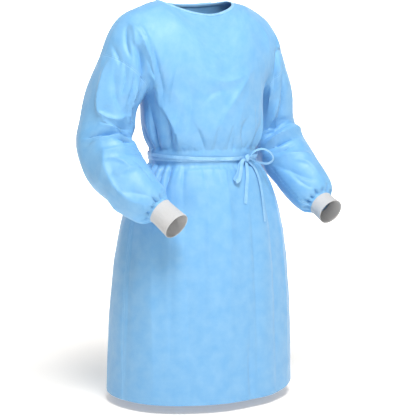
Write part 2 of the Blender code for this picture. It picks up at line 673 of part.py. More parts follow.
def neck_path(form):
    """Round the neck edge from the free edge of the right back, by the front, to that of the left back."""
    _, _, grids = form
    right, left = overlap_offset(1), overlap_offset(-1)
    path = []
    for c in range(round(RIGHT_BACK_EDGE * STEP), 4 * STEP, -2):
        path.append((grids[BACK][c, 0], right(c / STEP, 0)))
    path += [(grids[FRONT][c, 0], 0.0) for c in range(4 * STEP, 8 * STEP + 1, 2)]
    for c in range(8 * STEP - 2, round(LEFT_BACK_EDGE * STEP) - 1, -2):
        path.append((grids[BACK][c, 0], left(c / STEP, 0)))
    return path


def make_binding(form, material):
    """Folded over the neck edge: a channel whose two legs lie along the cloth."""
    points, normals, grids = form
    quads = []
    for grid in grids[:2]:
        top = grid[::2, [round(row * STEP) for row, _ in BODY_ROWS[:4]]]
        corners = np.stack((top[:-1, :-1], top[:-1, 1:], top[1:, 1:], top[1:, :-1]), -1)
        quads += corners.reshape(-1, 4).tolist()
    cloth = BVHTree.FromPolygons(points.tolist(), quads)
    path = neck_path(form)
    sections = []
    for n, (index, off) in enumerate(path):
        edge, normal = points[index], normals[index]
        along = points[path[min(n + 1, len(path) - 1)][0]] - points[path[max(n - 1, 0)][0]]
        away = unit(np.cross(along, normal))
        leg, facing, _, _ = cloth.find_nearest(edge + away * BINDING_WIDTH)
        facing = np.array(facing) * (1 if normal.dot(facing) > 0 else -1)
        edge, leg = edge + normal * off, np.array(leg) + facing * off
        away = unit(leg - edge)
        inner = CLOTH / 2 + BINDING_ROOM
        outer = inner + BINDING
        near, far, over = inner + BINDING_FLARE, outer + BINDING_FLARE, away * (BINDING_ROOM + BINDING)
        sections.append([
            leg + facing * near, leg + facing * far,
            edge + normal * outer - over, edge - normal * outer - over,
            leg - facing * far, leg - facing * near, edge - normal * inner - away * BINDING_ROOM,
            edge + normal * inner - away * BINDING_ROOM,
        ])
    return sweep("neck_binding", sections, material)


def make_belt(form, material):
    """Two turns of tape round the waist that cross in front. Each ends on either side of the knot."""
    room = CLOTH / 2 + SEAM_GAP + 0.0003 + BELT_TAPE / 2
    for name, side_height, knot_height, out, start, end in BELT_TURNS:
        path, facings = [], []
        count = round((end - start) * 4)
        for n in range(count + 1):
            column = start + (end - start) * n / count
            facing = round_body(form[1], form, column, BELT_ROW) * (1, 1, 0)
            facing = unit(facing)
            to_knot = abs((column - KNOT_COLUMN + HALF) % (2 * HALF) - HALF)
            heights = (knot_height, knot_height, side_height, side_height)
            height = np.interp(to_knot, (0, 0.5, 7.5, 12), heights)
            over = np.interp(column % (2 * HALF) - HALF, *zip(*OVER_THE_OVERLAP))
            point = round_body(form[0], form, column, BELT_ROW) + facing * (room + out + over)
            path.append(point + np.array((0, 0, height)))
            facings.append(facing)
        upright = [np.array((0, 0, 1.0))] * len(path)
        sweep(name, tape(path, upright, facings, BELT_WIDTH, BELT_TAPE), material)


def knot_frame(form):
    """The knot's place and its directions: along the belt, out and up."""
    facing = unit(round_body(form[1], form, KNOT_COLUMN, BELT_ROW) * (1, 1, 0))
    along = np.array((-facing[1], facing[0], 0.0))
    out = CLOTH / 2 + SEAM_GAP + 0.0003 + 2 * BELT_TAPE + 0.0007 + KNOT_DEPTH / 2
    drop = np.array((0, 0, KNOT_DROP))
    return round_body(form[0], form, KNOT_COLUMN, BELT_ROW) + facing * out - drop, along, facing


def make_knot_and_bow(form, material):
    """The knot, the two loops that stand off it, and the two ends that hang on the skirt."""
    middle, along, facing = knot_frame(form)
    up = np.array((0, 0, 1.0))
    sections = []
    for sideways, size in KNOT:
        turns = [math.pi / 6 * k for k in range(12)]
        centre = middle + along * sideways / 1000
        sections.append([
            centre + up * math.sin(a) * KNOT_HEIGHT / 2 * size + facing * math.cos(a) * KNOT_DEPTH / 2 * size
            for a in turns
        ])
    sweep("knot", sections, material)
    base = middle - facing * KNOT_DEPTH / 2
    points = [base + (along * a + facing * f + up * z) / 1000 for a, f, z in FREE_LOOP]
    centre = sum(points) / len(points)
    across = sum(np.cross(p - centre, q - centre) for p, q in zip(points, points[1:]))
    tape_along("bow_loop_right", points, across, material, True, FREE_LOOP_TURN)
    for name, places in HANGING:
        points, facings = [], []
        for column, row, off in places:
            facings.append(round_body(form[1], form, column, row))
            cloth = round_body(form[0], form, column, row)
            points.append(cloth + facings[-1] * (CLOTH / 2 + off / 1000))
        across = np.cross(points[len(points) // 2] - points[0], sum(facings))
        tape_along(name, points, across, material, "loop" in name)


def tape_along(name, points, across, material, comes_back, most_turn=0.0):
    """A tape along a smooth curve, its width lying across, drawn together where it enters the knot."""
    path = smooth_path(points, 3)
    steps = [unit(path[min(n + 1, len(path) - 1)] - path[max(n - 1, 0)]) for n in range(len(path))]
    widths = [unit(across - t * t.dot(across)) for t in steps]
    facings = [np.cross(w, t) for w, t in zip(widths, steps)]
    for n, (w, f) in enumerate(zip(widths, facings)):
        turn = most_turn * math.sin(math.pi * n / (len(path) - 1))
        widths[n] = w * math.cos(turn) + f * math.sin(turn)
        facings[n] = f * math.cos(turn) - w * math.sin(turn)
    sizes = [1.0] * len(path)
    for n, size in enumerate(DRAWN_IN):
        sizes[n] = size
        if comes_back:
            sizes[-1 - n] = size
    across = [TAPE_WIDTH * size for size in sizes]
    return sweep(name, tape(path, widths, facings, across, BELT_TAPE), material)


def make_belt_loops(form, material):
    """A thin loop at each side seam, standing round the belt."""
    for name, column in (("belt_loop_right", 0), ("belt_loop_left", HALF)):
        facing = unit(round_body(form[1], form, column, BELT_ROW) * (1, 1, 0))
        middle = round_body(form[0], form, column, BELT_ROW) + facing * (CLOTH / 2 + SEAM_GAP)
        along = np.array((-facing[1], facing[0], 0.0))
        points = []
        for out, up in BELT_LOOP:
            row = BELT_ROW - up / 40
            cloth = round_body(form[0], form, column, row)
            rise = max(0.0, (cloth - middle).dot(facing) + 0.0024) if out == 0 else 0.0
            points.append(middle + facing * (out / 1000 + rise) + np.array((0, 0, up / 1000)))
        last = len(points) - 1
        steps = [unit(points[min(n + 1, last)] - points[max(n - 1, 0)]) for n in range(last + 1)]
        facings = [np.cross(t, along) for t in steps]
        sweep(name, tape(points, [along] * len(points), facings, BELT_LOOP_WIDTH, BELT_LOOP_DEPTH), material)


def make_neck_tab(form, material):
    """A flat tab that holds the right back on the left one below the neck."""
    points, normals, grids = form
    right, left = overlap_offset(1), overlap_offset(-1)
    rows = [(n, list(range(len(TAB_COLUMNS)))) for n in range(len(TAB_ROWS))]

    def place(key):
        column, on_right = TAB_COLUMNS[key[0]]
        row = TAB_ROWS[key[1]]
        normal = sample(normals, grids[BACK], column, row)
        off = right(column, row) * on_right + left(column, row) * (1 - on_right)
        point = sample(points, grids[BACK], column, row) + normal * (off + CLOTH / 2 + 3 * SEAM_GAP)
        return point + normal * TAB_THICKNESS, point

    solid("neck_tab", (skin_faces(rows), place), material)


def material(name, colour, roughness):
    made = bpy.data.materials.new(name)
    made.use_nodes = True
    shader = made.node_tree.nodes["Principled BSDF"]
    shader.inputs["Base Color"].default_value = (*colour, 1.0)
    shader.inputs["Roughness"].default_value = roughness
    return made


def build():
    form = folded_form()
    blue = (0.28, 0.60, 0.90)

    def cloth(node):
        return material(f"{node}_cloth", blue, 0.75)

    armhole = sorted({round(row * STEP) for row, _ in BODY_ROWS if row <= YOKE_ROWS})
    turn = ARM_COLUMNS * STEP
    sleeve_rows = list(SLEEVE_ROWS)
    sleeve_rows[0] = (0, sorted(set(armhole) | {turn - c for c in armhole}))
    right_edge, left_edge = round(RIGHT_BACK_EDGE * STEP), round(LEFT_BACK_EDGE * STEP)

    panel("front", form, FRONT, BODY_ROWS, cloth("front"))
    panel("back_right", form, BACK, BODY_ROWS, cloth("back_right"), last=right_edge, offset=overlap_offset(1))
    panel("back_left", form, BACK, BODY_ROWS, cloth("back_left"), first=left_edge, offset=overlap_offset(-1))
    panel("sleeve_right", form, SLEEVE_R, sleeve_rows, cloth("sleeve_right"), wrap=turn)
    panel("sleeve_left", form, SLEEVE_L, sleeve_rows, cloth("sleeve_left"), wrap=turn)
    knit = (0.86, 0.86, 0.86)
    make_cuff("cuff_right", form, SLEEVE_R, CUFF_ENDS[0], material("cuff_right_knit", knit, 0.9))
    make_cuff("cuff_left", form, SLEEVE_L, CUFF_ENDS[1], material("cuff_left_knit", knit, 0.9))
    make_binding(form, material("neck_binding_tape", (0.52, 0.78, 0.96), 0.7))
    tape_cloth = material("belt_tape", blue, 0.7)
    make_belt(form, tape_cloth)
    make_knot_and_bow(form, tape_cloth)
    make_belt_loops(form, tape_cloth)
    make_neck_tab(form, material("tab_tape", (0.80, 0.84, 0.88), 0.8))


for leftover in list(bpy.data.objects):
    bpy.data.objects.remove(leftover)
PARTS = bpy.data.collections.new("isolation_gown")
bpy.context.scene.collection.children.link(PARTS)
build()
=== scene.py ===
# %% [markdown]
# # An isolation gown, filled out as worn
#
# The real gown is cut from a light blue nonwoven cloth: a front, two backs that lap, and two sleeves
# that are gathered into white knit cuffs. A bias strip binds the neck, and a folded tape goes twice
# round the waist and is tied in a bow.
#
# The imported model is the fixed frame. It holds the right sizes, and every piece here takes its place.

# %% Load the frame
import math

import bpy
import numpy as np
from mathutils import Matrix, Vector, noise


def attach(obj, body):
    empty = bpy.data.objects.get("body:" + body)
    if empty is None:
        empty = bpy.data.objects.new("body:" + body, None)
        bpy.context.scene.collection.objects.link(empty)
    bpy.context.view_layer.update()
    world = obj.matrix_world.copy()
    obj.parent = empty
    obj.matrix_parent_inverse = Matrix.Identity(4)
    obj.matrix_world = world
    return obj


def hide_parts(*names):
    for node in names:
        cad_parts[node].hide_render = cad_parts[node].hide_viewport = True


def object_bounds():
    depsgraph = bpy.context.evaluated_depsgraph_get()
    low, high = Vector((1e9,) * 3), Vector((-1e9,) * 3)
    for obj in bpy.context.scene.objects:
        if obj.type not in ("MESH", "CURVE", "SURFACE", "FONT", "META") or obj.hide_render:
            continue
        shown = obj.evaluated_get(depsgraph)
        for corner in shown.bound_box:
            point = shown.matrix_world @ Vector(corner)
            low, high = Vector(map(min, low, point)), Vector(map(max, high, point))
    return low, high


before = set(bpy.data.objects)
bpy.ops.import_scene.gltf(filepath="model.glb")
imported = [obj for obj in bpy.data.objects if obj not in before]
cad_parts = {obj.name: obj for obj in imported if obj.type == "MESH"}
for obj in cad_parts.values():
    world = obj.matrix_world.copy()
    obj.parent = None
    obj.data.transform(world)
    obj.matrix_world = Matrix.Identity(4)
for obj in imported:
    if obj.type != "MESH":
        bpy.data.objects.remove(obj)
CAD_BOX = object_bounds()
print("nodes:", ", ".join(sorted(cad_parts)))

# %% [markdown]
# ## Camera
#
# The photograph is taken with a long lens from the gown's right, a little above its middle. A long
# lens far away keeps the hem and the neck at nearly the same scale, as in a shop's picture.

# %% Camera
CAMERA_PLACE = (-2.260, -3.481, -0.100)
CAMERA_AIM = (0.0341, -0.0221, -0.5986)
LENS_MM = 123.9

camera = bpy.data.objects.new("camera", bpy.data.cameras.new("camera"))
camera.data.lens = LENS_MM
camera.data.sensor_width = 36.0
camera.data.dof.use_dof = False
camera.location = CAMERA_PLACE
aim = Vector(CAMERA_AIM) - Vector(CAMERA_PLACE)
camera.rotation_euler = aim.to_track_quat("-Z", "Y").to_euler()
bpy.context.scene.collection.objects.link(camera)
bpy.context.scene.camera = camera

# %% [markdown]
# ## Studio
#
# A white sweep goes from the floor up behind the gown, so no horizon shows. The floor lies just under
# the hem, where the photograph shows a soft grey shadow. The paper glows with a painted light, weak
# near the gown and strong away from it, which keeps it white. The light on the gown is a large soft box
# high above the camera, a weak one at the camera's height and an even white surround that fills the folds.

# %% Floor, surround and lights
FLOOR_BELOW_HEM = 0.026
SWEEP_FRONT, SWEEP_DEPTH, SWEEP_RADIUS, SWEEP_HEIGHT, SWEEP_WIDTH = -4.0, 4.7, 1.4, 4.5, 12.0
SWEEP_BENDS = 12
PAPER_WHITE = (0.95, 0.91, 0.86)
# the paper's painted glow: distance from the origin and strength, near the gown and far from it
PAPER_PAINTED_GLOW = ((1.30, 0.34), (3.0, 0.95))
LIGHTS = (
    # name, place, what it is aimed at, size, watts
    ("key_light", (-0.7, -2.0, 3.0), (0.0, 0.0, -0.40), (1.7, 1.5), 172),
    ("fill_light", (-0.9, -3.4, 0.4), (0.0, 0.0, -0.60), (1.4, 1.4), 12),
)
SURROUND = 0.25


def set_inputs(made, values):
    for name, value in values.items():
        made.inputs[name].default_value = value


def connect(tree, made, sources):
    """Links each output to the input socket of that name."""
    for name, source in sources.items():
        tree.links.new(source, made.inputs[name])


def plain_material(name, colour, roughness):
    made = bpy.data.materials.new(name)
    made.use_nodes = True
    shader = made.node_tree.nodes["Principled BSDF"]
    set_inputs(shader, {"Base Color": (*colour, 1.0), "Roughness": roughness})
    return made, shader


def mesh_object(name, points, faces):
    shape = bpy.data.meshes.new(name)
    shape.from_pydata([tuple(map(float, p)) for p in points], [], [tuple(map(int, f)) for f in faces])
    shape.validate()
    made = bpy.data.objects.new(name, shape)
    bpy.context.scene.collection.objects.link(made)
    for polygon in shape.polygons:
        polygon.use_smooth = True
    return made


def make_sweep(floor_z):
    """Floor, a quarter turn and a wall behind, turned to face the camera."""
    profile = [(SWEEP_FRONT, 0.0), (SWEEP_DEPTH, 0.0)]
    for k in range(1, SWEEP_BENDS + 1):
        a = math.pi / 2 * k / SWEEP_BENDS
        profile.append((SWEEP_DEPTH + SWEEP_RADIUS * math.sin(a), SWEEP_RADIUS * (1 - math.cos(a))))
    profile.append((SWEEP_DEPTH + SWEEP_RADIUS, SWEEP_HEIGHT))
    away = Vector((aim.x, aim.y, 0)).normalized()
    side = Vector((away.y, -away.x, 0))
    points = []
    for depth, height in profile:
        for across in (-SWEEP_WIDTH / 2, SWEEP_WIDTH / 2):
            p = away * depth + side * across
            points.append((p.x, p.y, floor_z + height))
    faces = [(2 * k, 2 * k + 1, 2 * k + 3, 2 * k + 2) for k in range(len(profile) - 1)]
    sweep = mesh_object("studio_sweep", points, faces)
    paper, shader = plain_material("sweep_paper", PAPER_WHITE, 0.9)
    # painted light: the paper glows by its distance from the origin, weakly near the gown and strongly far
    # from it
    set_inputs(shader, {"Specular IOR Level": 0.0, "Emission Strength": 1.0})
    tree = paper.node_tree
    place = tree.nodes.new("ShaderNodeNewGeometry")
    distance = tree.nodes.new("ShaderNodeVectorMath")
    distance.operation = "LENGTH"
    painted_glow = tree.nodes.new("ShaderNodeMapRange")
    (near, painted_glow_near), (far, painted_glow_far) = PAPER_PAINTED_GLOW
    set_inputs(painted_glow, {"From Min": near, "From Max": far, "To Min": painted_glow_near, "To Max": painted_glow_far})
    tree.links.new(place.outputs["Position"], distance.inputs[0])
    tree.links.new(distance.outputs["Value"], painted_glow.inputs["Value"])
    tree.links.new(painted_glow.outputs["Result"], shader.inputs["Emission Color"])
    sweep.data.materials.append(paper)


def soft_box(name, place, aim_at, size, watts):
    lamp = bpy.data.lights.new(name, "AREA")
    lamp.shape = "RECTANGLE"
    lamp.size, lamp.size_y = size
    lamp.energy = watts
    made = bpy.data.objects.new(name, lamp)
    made.location = place
    made.rotation_euler = (Vector(aim_at) - Vector(place)).to_track_quat("-Z", "Y").to_euler()
    bpy.context.scene.collection.objects.link(made)


make_sweep(CAD_BOX[0][2] - FLOOR_BELOW_HEM)
for light in LIGHTS:
    soft_box(*light)
surround = bpy.data.worlds.new("surround")
surround.use_nodes = True
set_inputs(surround.node_tree.nodes["Background"], {"Color": (1.0, 1.0, 1.0, 1.0), "Strength": SURROUND})
bpy.context.scene.world = surround
bpy.context.scene.view_settings.view_transform = "Standard"

# %% [markdown]
# ## The cloth's grain
#
# The cloth is a spunbond nonwoven: fibres laid at random, then pressed together in a grid of tiny
# points. Up close there is a fine emboss and a fibrous cloudiness. From a few metres only a faint
# mottle and a satin sheen are left. One node group makes these masks, and every blue piece uses it.

# %% Node helpers and the nonwoven grain


def node(tree, kind, **settings):
    made = tree.nodes.new(kind)
    for key, value in settings.items():
        setattr(made, key, value)
    return made


def new_group(name, place, measures, masks):
    """An empty shader group: a place on the cloth and some measures in metres in, masks out."""
    tree = bpy.data.node_groups.new(name, "ShaderNodeTree")
    add = tree.interface.new_socket
    add(name=place, in_out="INPUT", socket_type="NodeSocketVector")
    for title, value in measures:
        add(name=title, in_out="INPUT", socket_type="NodeSocketFloat").default_value = value
    for title in masks:
        add(name=title, in_out="OUTPUT", socket_type="NodeSocketFloat")
    return tree, node(tree, "NodeGroupInput"), node(tree, "NodeGroupOutput")


def use_group(tree, group, layer):
    """A group in a material, fed with the places that a corner layer of the mesh holds."""
    place = node(tree, "ShaderNodeUVMap", uv_map=layer)
    made = node(tree, "ShaderNodeGroup")
    made.node_tree = group
    tree.links.new(place.outputs[0], made.inputs[0])
    return made


def add_bump(tree, shader, height, strength, distance):
    bump = node(tree, "ShaderNodeBump")
    set_inputs(bump, {"Strength": strength, "Distance": distance})
    tree.links.new(height, bump.inputs["Height"])
    tree.links.new(bump.outputs["Normal"], shader.inputs["Normal"])


def math_node(tree, operation, a, b=None):
    made = node(tree, "ShaderNodeMath", operation=operation)
    for socket, value in zip(made.inputs, (a, b)):
        if isinstance(value, (int, float)):
            socket.default_value = value
        elif value is not None:
            tree.links.new(value, socket)
    return made.outputs[0]


def noise_node(tree, vector, scale, detail=3.0, rough=0.55):
    made = node(tree, "ShaderNodeTexNoise")
    set_inputs(made, {"Scale": scale, "Detail": detail, "Roughness": rough})
    tree.links.new(vector, made.inputs["Vector"])
    return made.outputs["Fac"]


def stretched(tree, vector, scale):
    made = node(tree, "ShaderNodeVectorMath", operation="MULTIPLY")
    tree.links.new(vector, made.inputs[0])
    made.inputs[1].default_value = scale
    return made.outputs[0]


def make_nonwoven_grain():
    """Cut coordinates in metres in; cloudiness, fibre and emboss masks out."""
    measures, masks = (("Point Spacing", 0.0016),), ("Cloud", "Fibre", "Emboss")
    tree, into, out = new_group("nonwoven_grain", "Cut", measures, masks)
    cut = into.outputs["Cut"]
    cloud = noise_node(tree, cut, 28.0, 4.0, 0.6)
    along = noise_node(tree, stretched(tree, cut, (1.0, 0.22, 1.0)), 900.0, 2.0)
    across = noise_node(tree, stretched(tree, cut, (0.25, 1.0, 1.0)), 700.0, 2.0)
    fibre = math_node(tree, "MAXIMUM", along, across)
    split = node(tree, "ShaderNodeSeparateXYZ")
    tree.links.new(cut, split.inputs[0])
    waves = []
    for axis in (0, 1):
        turns = math_node(tree, "DIVIDE", split.outputs[axis], into.outputs["Point Spacing"])
        waves.append(math_node(tree, "COSINE", math_node(tree, "MULTIPLY", turns, 2 * math.pi)))
    points = math_node(tree, "SUBTRACT", math_node(tree, "MULTIPLY", waves[0], waves[1]), 0.35)
    emboss = math_node(tree, "MAXIMUM", math_node(tree, "MULTIPLY", points, 1.5), 0.0)
    connect(tree, out, {"Cloud": cloud, "Fibre": fibre, "Emboss": emboss})
    return tree


GRAIN = make_nonwoven_grain()
print("grain group:", [s.name for s in GRAIN.interface.items_tree])

# %% [markdown]
# ## The sewing
#
# The panels are joined by a short overlocked seam. On the right side of the cloth it shows as a fine
# valley with tiny stitches across it. Each panel stores, for every corner, how far it is from its
# nearest seam and how far along that seam it lies; this group turns the two into a row of stitches
# and a mask of painted shade along the seam's valley.

# %% The stitch row
STITCH_SHARE = 0.72
# how far from a seam the painted shade of its valley reaches
VALLEY_SHADE_REACH = 0.004


def make_stitch_row():
    """Seam coordinates in metres in; a mask of the stitches and one of painted shade in the seam's valley
    out.
    """
    measures = (("Stitch Length", 0.0030), ("Row Offset", 0.0025), ("Thread Width", 0.0006))
    tree, into, out = new_group("stitch_row", "Seam", measures, ("Stitches", "Valley Shade"))
    split = node(tree, "ShaderNodeSeparateXYZ")
    tree.links.new(into.outputs["Seam"], split.inputs[0])
    away, along = split.outputs[0], split.outputs[1]
    off = math_node(tree, "ABSOLUTE", math_node(tree, "SUBTRACT", away, into.outputs["Row Offset"]))
    row = math_node(tree, "SUBTRACT", 1.0, math_node(tree, "DIVIDE", off, into.outputs["Thread Width"]))
    row = math_node(tree, "MAXIMUM", row, 0.0)
    turns = math_node(tree, "FRACT", math_node(tree, "DIVIDE", along, into.outputs["Stitch Length"]))
    dash = math_node(tree, "LESS_THAN", turns, STITCH_SHARE)
    # painted shade, strongest at the seam and gone at its reach
    near = math_node(tree, "SUBTRACT", 1.0, math_node(tree, "DIVIDE", away, VALLEY_SHADE_REACH))
    valley = math_node(tree, "MAXIMUM", near, 0.0)
    connect(tree, out, {"Stitches": math_node(tree, "MULTIPLY", row, dash), "Valley Shade": valley})
    return tree


STITCHES = make_stitch_row()

# %% [markdown]
# ## The blue cloth
#
# The cloth's own colour is a clear light blue. It is a little deeper in its cloudy patches and paler
# where the fibres are dense. The sheen and the middling roughness give the broad satin highlights on
# the chest and the sleeve.

# %% The cloth material
CLOTH_BLUE = (0.215, 0.475, 0.755)
# the cloth's cloudy patches, and the painted shade in each seam's valley
CLOTH_DEEP = (0.160, 0.420, 0.735)
TAPE_BLUE = (0.400, 0.680, 0.920)
STITCH_BLUE = (0.46, 0.74, 0.97)
SHEEN_TINT = (0.80, 0.92, 1.0)


def mix_colour(tree, factor, a, b):
    made = node(tree, "ShaderNodeMix", data_type="RGBA")
    if isinstance(factor, (int, float)):
        made.inputs[0].default_value = factor
    else:
        tree.links.new(factor, made.inputs[0])
    for socket, value in ((made.inputs[6], a), (made.inputs[7], b)):
        if isinstance(value, tuple):
            socket.default_value = (*value, 1.0)
        else:
            tree.links.new(value, socket)
    return made.outputs[2]


def ramp(tree, value, low, high):
    """value spread from low..high to 0..1."""
    made = node(tree, "ShaderNodeMapRange")
    set_inputs(made, {"From Min": low, "From Max": high})
    tree.links.new(value, made.inputs["Value"])
    return made.outputs["Result"]


def make_cloth_material(name, pale, deep, roughness, sheen):
    """The tape has no seam layer, so the mask meant for painted shade in a seam's valley covers it all
    over, and the tape is evenly a little deeper.
    """
    made, shader = plain_material(name, pale, roughness)
    tree = made.node_tree
    grain = use_group(tree, GRAIN, "cut")
    cloud = ramp(tree, grain.outputs["Cloud"], 0.32, 0.68)
    colour = mix_colour(tree, cloud, deep, pale)
    fibre = ramp(tree, grain.outputs["Fibre"], 0.50, 0.85)
    paler = tuple(min(1.0, c * 1.06 + 0.02) for c in pale)
    colour = mix_colour(tree, math_node(tree, "MULTIPLY", fibre, 0.35), colour, paler)
    height = math_node(tree, "SUBTRACT", math_node(tree, "MULTIPLY", fibre, 0.5), grain.outputs["Emboss"])
    row = use_group(tree, STITCHES, "seam")
    colour = mix_colour(tree, row.outputs["Stitches"], colour, STITCH_BLUE)
    # painted shade: the cloth is coloured a little deeper in each seam's valley; on the tape this is an
    # even deeper tone
    valley = math_node(tree, "MULTIPLY", row.outputs["Valley Shade"], 0.25)
    colour = mix_colour(tree, valley, colour, CLOTH_DEEP)
    height = math_node(tree, "ADD", height, math_node(tree, "MULTIPLY", row.outputs["Stitches"], 2.0))
    rough = node(tree, "ShaderNodeMapRange")
    set_inputs(rough, {"To Min": roughness + 0.05, "To Max": roughness - 0.05})
    tree.links.new(cloud, rough.inputs["Value"])
    connect(tree, shader, {"Base Color": colour, "Roughness": rough.outputs["Result"]})
    add_bump(tree, shader, height, 0.35, 0.00012)
    set_inputs(shader, {"Specular IOR Level": 0.50, "Sheen Weight": sheen, "Sheen Roughness": 0.45,
                        "Sheen Tint": (*SHEEN_TINT, 1.0)})
    return made


CLOTH = make_cloth_material("blue_nonwoven", CLOTH_BLUE, CLOTH_DEEP, 0.50, 0.16)
TAPE = make_cloth_material("blue_tape", TAPE_BLUE, CLOTH_BLUE, 0.45, 0.12)

# %% [markdown]
# ## The shape of the cloth
#
# The gown's form comes from its cut: a few sections from shoulder to hem and along each arm, joined
# to one coarse cage of quads and smoothed by a Subdivision Surface. Each vertex remembers its piece,
# column and row, so a seam, a fold or a belt can be given by its place on the cloth. These are the
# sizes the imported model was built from, so the cloth lies where its solids are.

# %% Sections of the gown
HEM_Z = -1.12
BELT_Z = -0.4345
NECK_HALF_WIDTH = 0.135
NECK_FRONT_DROP = 0.054
NECK_FRONT_REACH = 0.083
NECK_BACK_DROP = 0.018
NECK_BACK_REACH = 0.062
SOLID_WALL = 0.002

HALF = 12
ARM_COLUMNS = 8
YOKE_ROWS = 4
LEVEL = 4
STEP = 2**LEVEL
FRONT, BACK, SLEEVE_R, SLEEVE_L = range(4)

SHOULDER = (
    # column, x on the right, x on the left, z, bulge, roundness
    (0, 0.304, 0.282, -0.146, 0.088, 1.00),
    (1, 0.282, 0.262, -0.074, 0.062, 0.60),
    (2, 0.240, 0.226, -0.031, 0.030, 0.22),
    (3, 0.188, 0.184, -0.011, 0.010, 0.05),
    (4, 0.135, 0.135, 0.006, 0.000, 0.00),
)
TORSO = (
    # z, half width, front depth, back depth, centre y, squareness, side seams turned forward in degrees
    (-0.255, 0.184, 0.142, 0.128, -0.040, 2.15, 0),
    (-0.342, 0.187, 0.150, 0.138, -0.042, 2.20, 0),
    (-0.397, 0.179, 0.139, 0.128, -0.044, 2.15, 0),
    (BELT_Z, 0.152, 0.124, 0.115, -0.044, 2.10, 0),
    (-0.488, 0.196, 0.156, 0.144, -0.042, 2.10, 0),
    (-0.588, 0.234, 0.188, 0.175, -0.038, 2.10, 0),
    (-0.740, 0.259, 0.212, 0.196, -0.034, 2.10, 1),
    (-0.930, 0.274, 0.226, 0.210, -0.028, 2.10, 4),
    (HEM_Z, 0.282, 0.234, 0.220, -0.024, 2.10, 8),
)
HEM_LIFT = ((0, 0.0), (8, 0.0), (10, 0.010), (12, 0.014), (15, 0.008), (18, 0.0), (24, 0.0))
ARM_R = (
    # x, y, z, radius across, radius fore and aft
    (-0.268, 0.000, -0.260, 0.072, 0.090),
    (-0.276, 0.008, -0.302, 0.071, 0.088),
    (-0.281, 0.014, -0.345, 0.074, 0.086),
    (-0.297, 0.006, -0.390, 0.076, 0.085),
    (-0.303, -0.024, -0.430, 0.080, 0.084),
    (-0.298, -0.060, -0.463, 0.080, 0.080),
    (-0.288, -0.100, -0.497, 0.075, 0.076),
    (-0.271, -0.153, -0.544, 0.068, 0.068),
    (-0.240, -0.177, -0.563, 0.055, 0.055),
    (-0.234, -0.190, -0.572, 0.037, 0.037),
)
ARM_L = (
    (0.262, 0.000, -0.264, 0.065, 0.090),
    (0.268, 0.008, -0.306, 0.065, 0.088),
    (0.272, 0.014, -0.350, 0.070, 0.086),
    (0.277, 0.003, -0.393, 0.074, 0.084),
    (0.279, -0.035, -0.432, 0.076, 0.080),
    (0.285, -0.078, -0.470, 0.073, 0.075),
    (0.292, -0.120, -0.507, 0.070, 0.070),
    (0.297, -0.166, -0.545, 0.066, 0.066),
    (0.303, -0.195, -0.576, 0.056, 0.056),
    (0.305, -0.209, -0.584, 0.037, 0.037),
)
# where an arm's line starts inside the shoulder, on the left
ARM_START = (0.230, 0.0, -0.200)
# smoothing draws a ring in, so its cage points lie this much further out
RING_GROWTH = 6 / (4 + 2 * math.cos(2 * math.pi / ARM_COLUMNS))


def unit(vector):
    return vector / np.linalg.norm(vector)


def signed_power(value, power):
    return math.copysign(abs(value) ** power, value)


def torso_point(row, column):
    """A point of a body section. Column 0 is the right side seam, 6 the middle of the front."""
    z, half_width, front, back, centre_y, square, turned = TORSO[row]
    if row == len(TORSO) - 1:
        z += np.interp(column, *zip(*HEM_LIFT))
    seam = math.radians(turned)
    if column <= HALF:
        angle = seam + (math.pi - 2 * seam) * column / HALF
    else:
        angle = math.pi - seam + (math.pi + 2 * seam) * (column / HALF - 1)
    depth = front if math.sin(angle) > 0 else back
    x = -half_width * signed_power(math.cos(angle), 2 / square)
    y = centre_y - depth * signed_power(math.sin(angle), 2 / square)
    return x, y, z


def yoke_top(column, facing):
    """Where a column starts: on the shoulder seam or the neckline. facing is -1 in front, 1 behind."""
    side = -1 if column <= HALF // 2 else 1
    inward = min(column, HALF - column)
    if inward < len(SHOULDER):
        _, right, left, z, bulge, roundness = SHOULDER[inward]
        return np.array((-right if side < 0 else left, 0.0, z)), bulge, roundness
    turn = (inward - 4) / 2 * math.pi / 2
    reach, drop = (NECK_FRONT_REACH, NECK_FRONT_DROP) if facing < 0 else (NECK_BACK_REACH, NECK_BACK_DROP)
    x = side * NECK_HALF_WIDTH * math.cos(turn)
    top = SHOULDER[4][3]
    return np.array((x, facing * reach * math.sin(turn), top - drop * math.sin(turn) ** 2)), 0.0, 0.0


def yoke_point(row, column, facing):
    """A point between the shoulder and the armpit's level."""
    top, bulge, roundness = yoke_top(column, facing)
    bottom = np.array(torso_point(0, column if facing < 0 else 2 * HALF - column))
    t = row / YOKE_ROWS
    quarter, half = 1 - math.cos(math.pi * t / 2), (1 - math.cos(math.pi * t)) / 2
    inward = min(column, HALF - column)
    neck = max(0.0, (inward - 4) / 2)
    fall = roundness * half + (1 - roundness) * (quarter * (1 - neck) + t * neck)
    across = roundness * half + (1 - roundness) * t**1.5
    forward = math.sin(math.pi * t / 2)
    x = top[0] + (bottom[0] - top[0]) * across
    y = top[1] + (bottom[1] - top[1]) * forward + facing * bulge * math.sin(math.pi * t)
    z = top[2] + (bottom[2] - top[2]) * fall
    return x, y, z


def arm_rings(arm, side):
    """The cage's rings along a sleeve, 8 points each: outside, front, inside, back."""
    centres = np.array([row[:3] for row in arm])
    line = np.vstack((np.array(ARM_START) * (side, 1, 1), centres))
    fore = np.array((0.0, -1.0, 0.0))
    rings = []
    for n in range(1, len(line)):
        tangent = unit(line[min(n + 1, len(line) - 1)] - line[n - 1])
        fore = unit(fore - tangent * fore.dot(tangent))
        outward = np.cross(fore, tangent) * side
        _, _, _, across, deep = arm[n - 1]
        turns = [2 * math.pi * k / ARM_COLUMNS for k in range(ARM_COLUMNS)]
        rings.append([
            line[n] + RING_GROWTH * (across * math.cos(a) * outward + deep * math.sin(a) * fore)
            for a in turns
        ])
    return rings


# %% Join the sections to one cage and smooth it


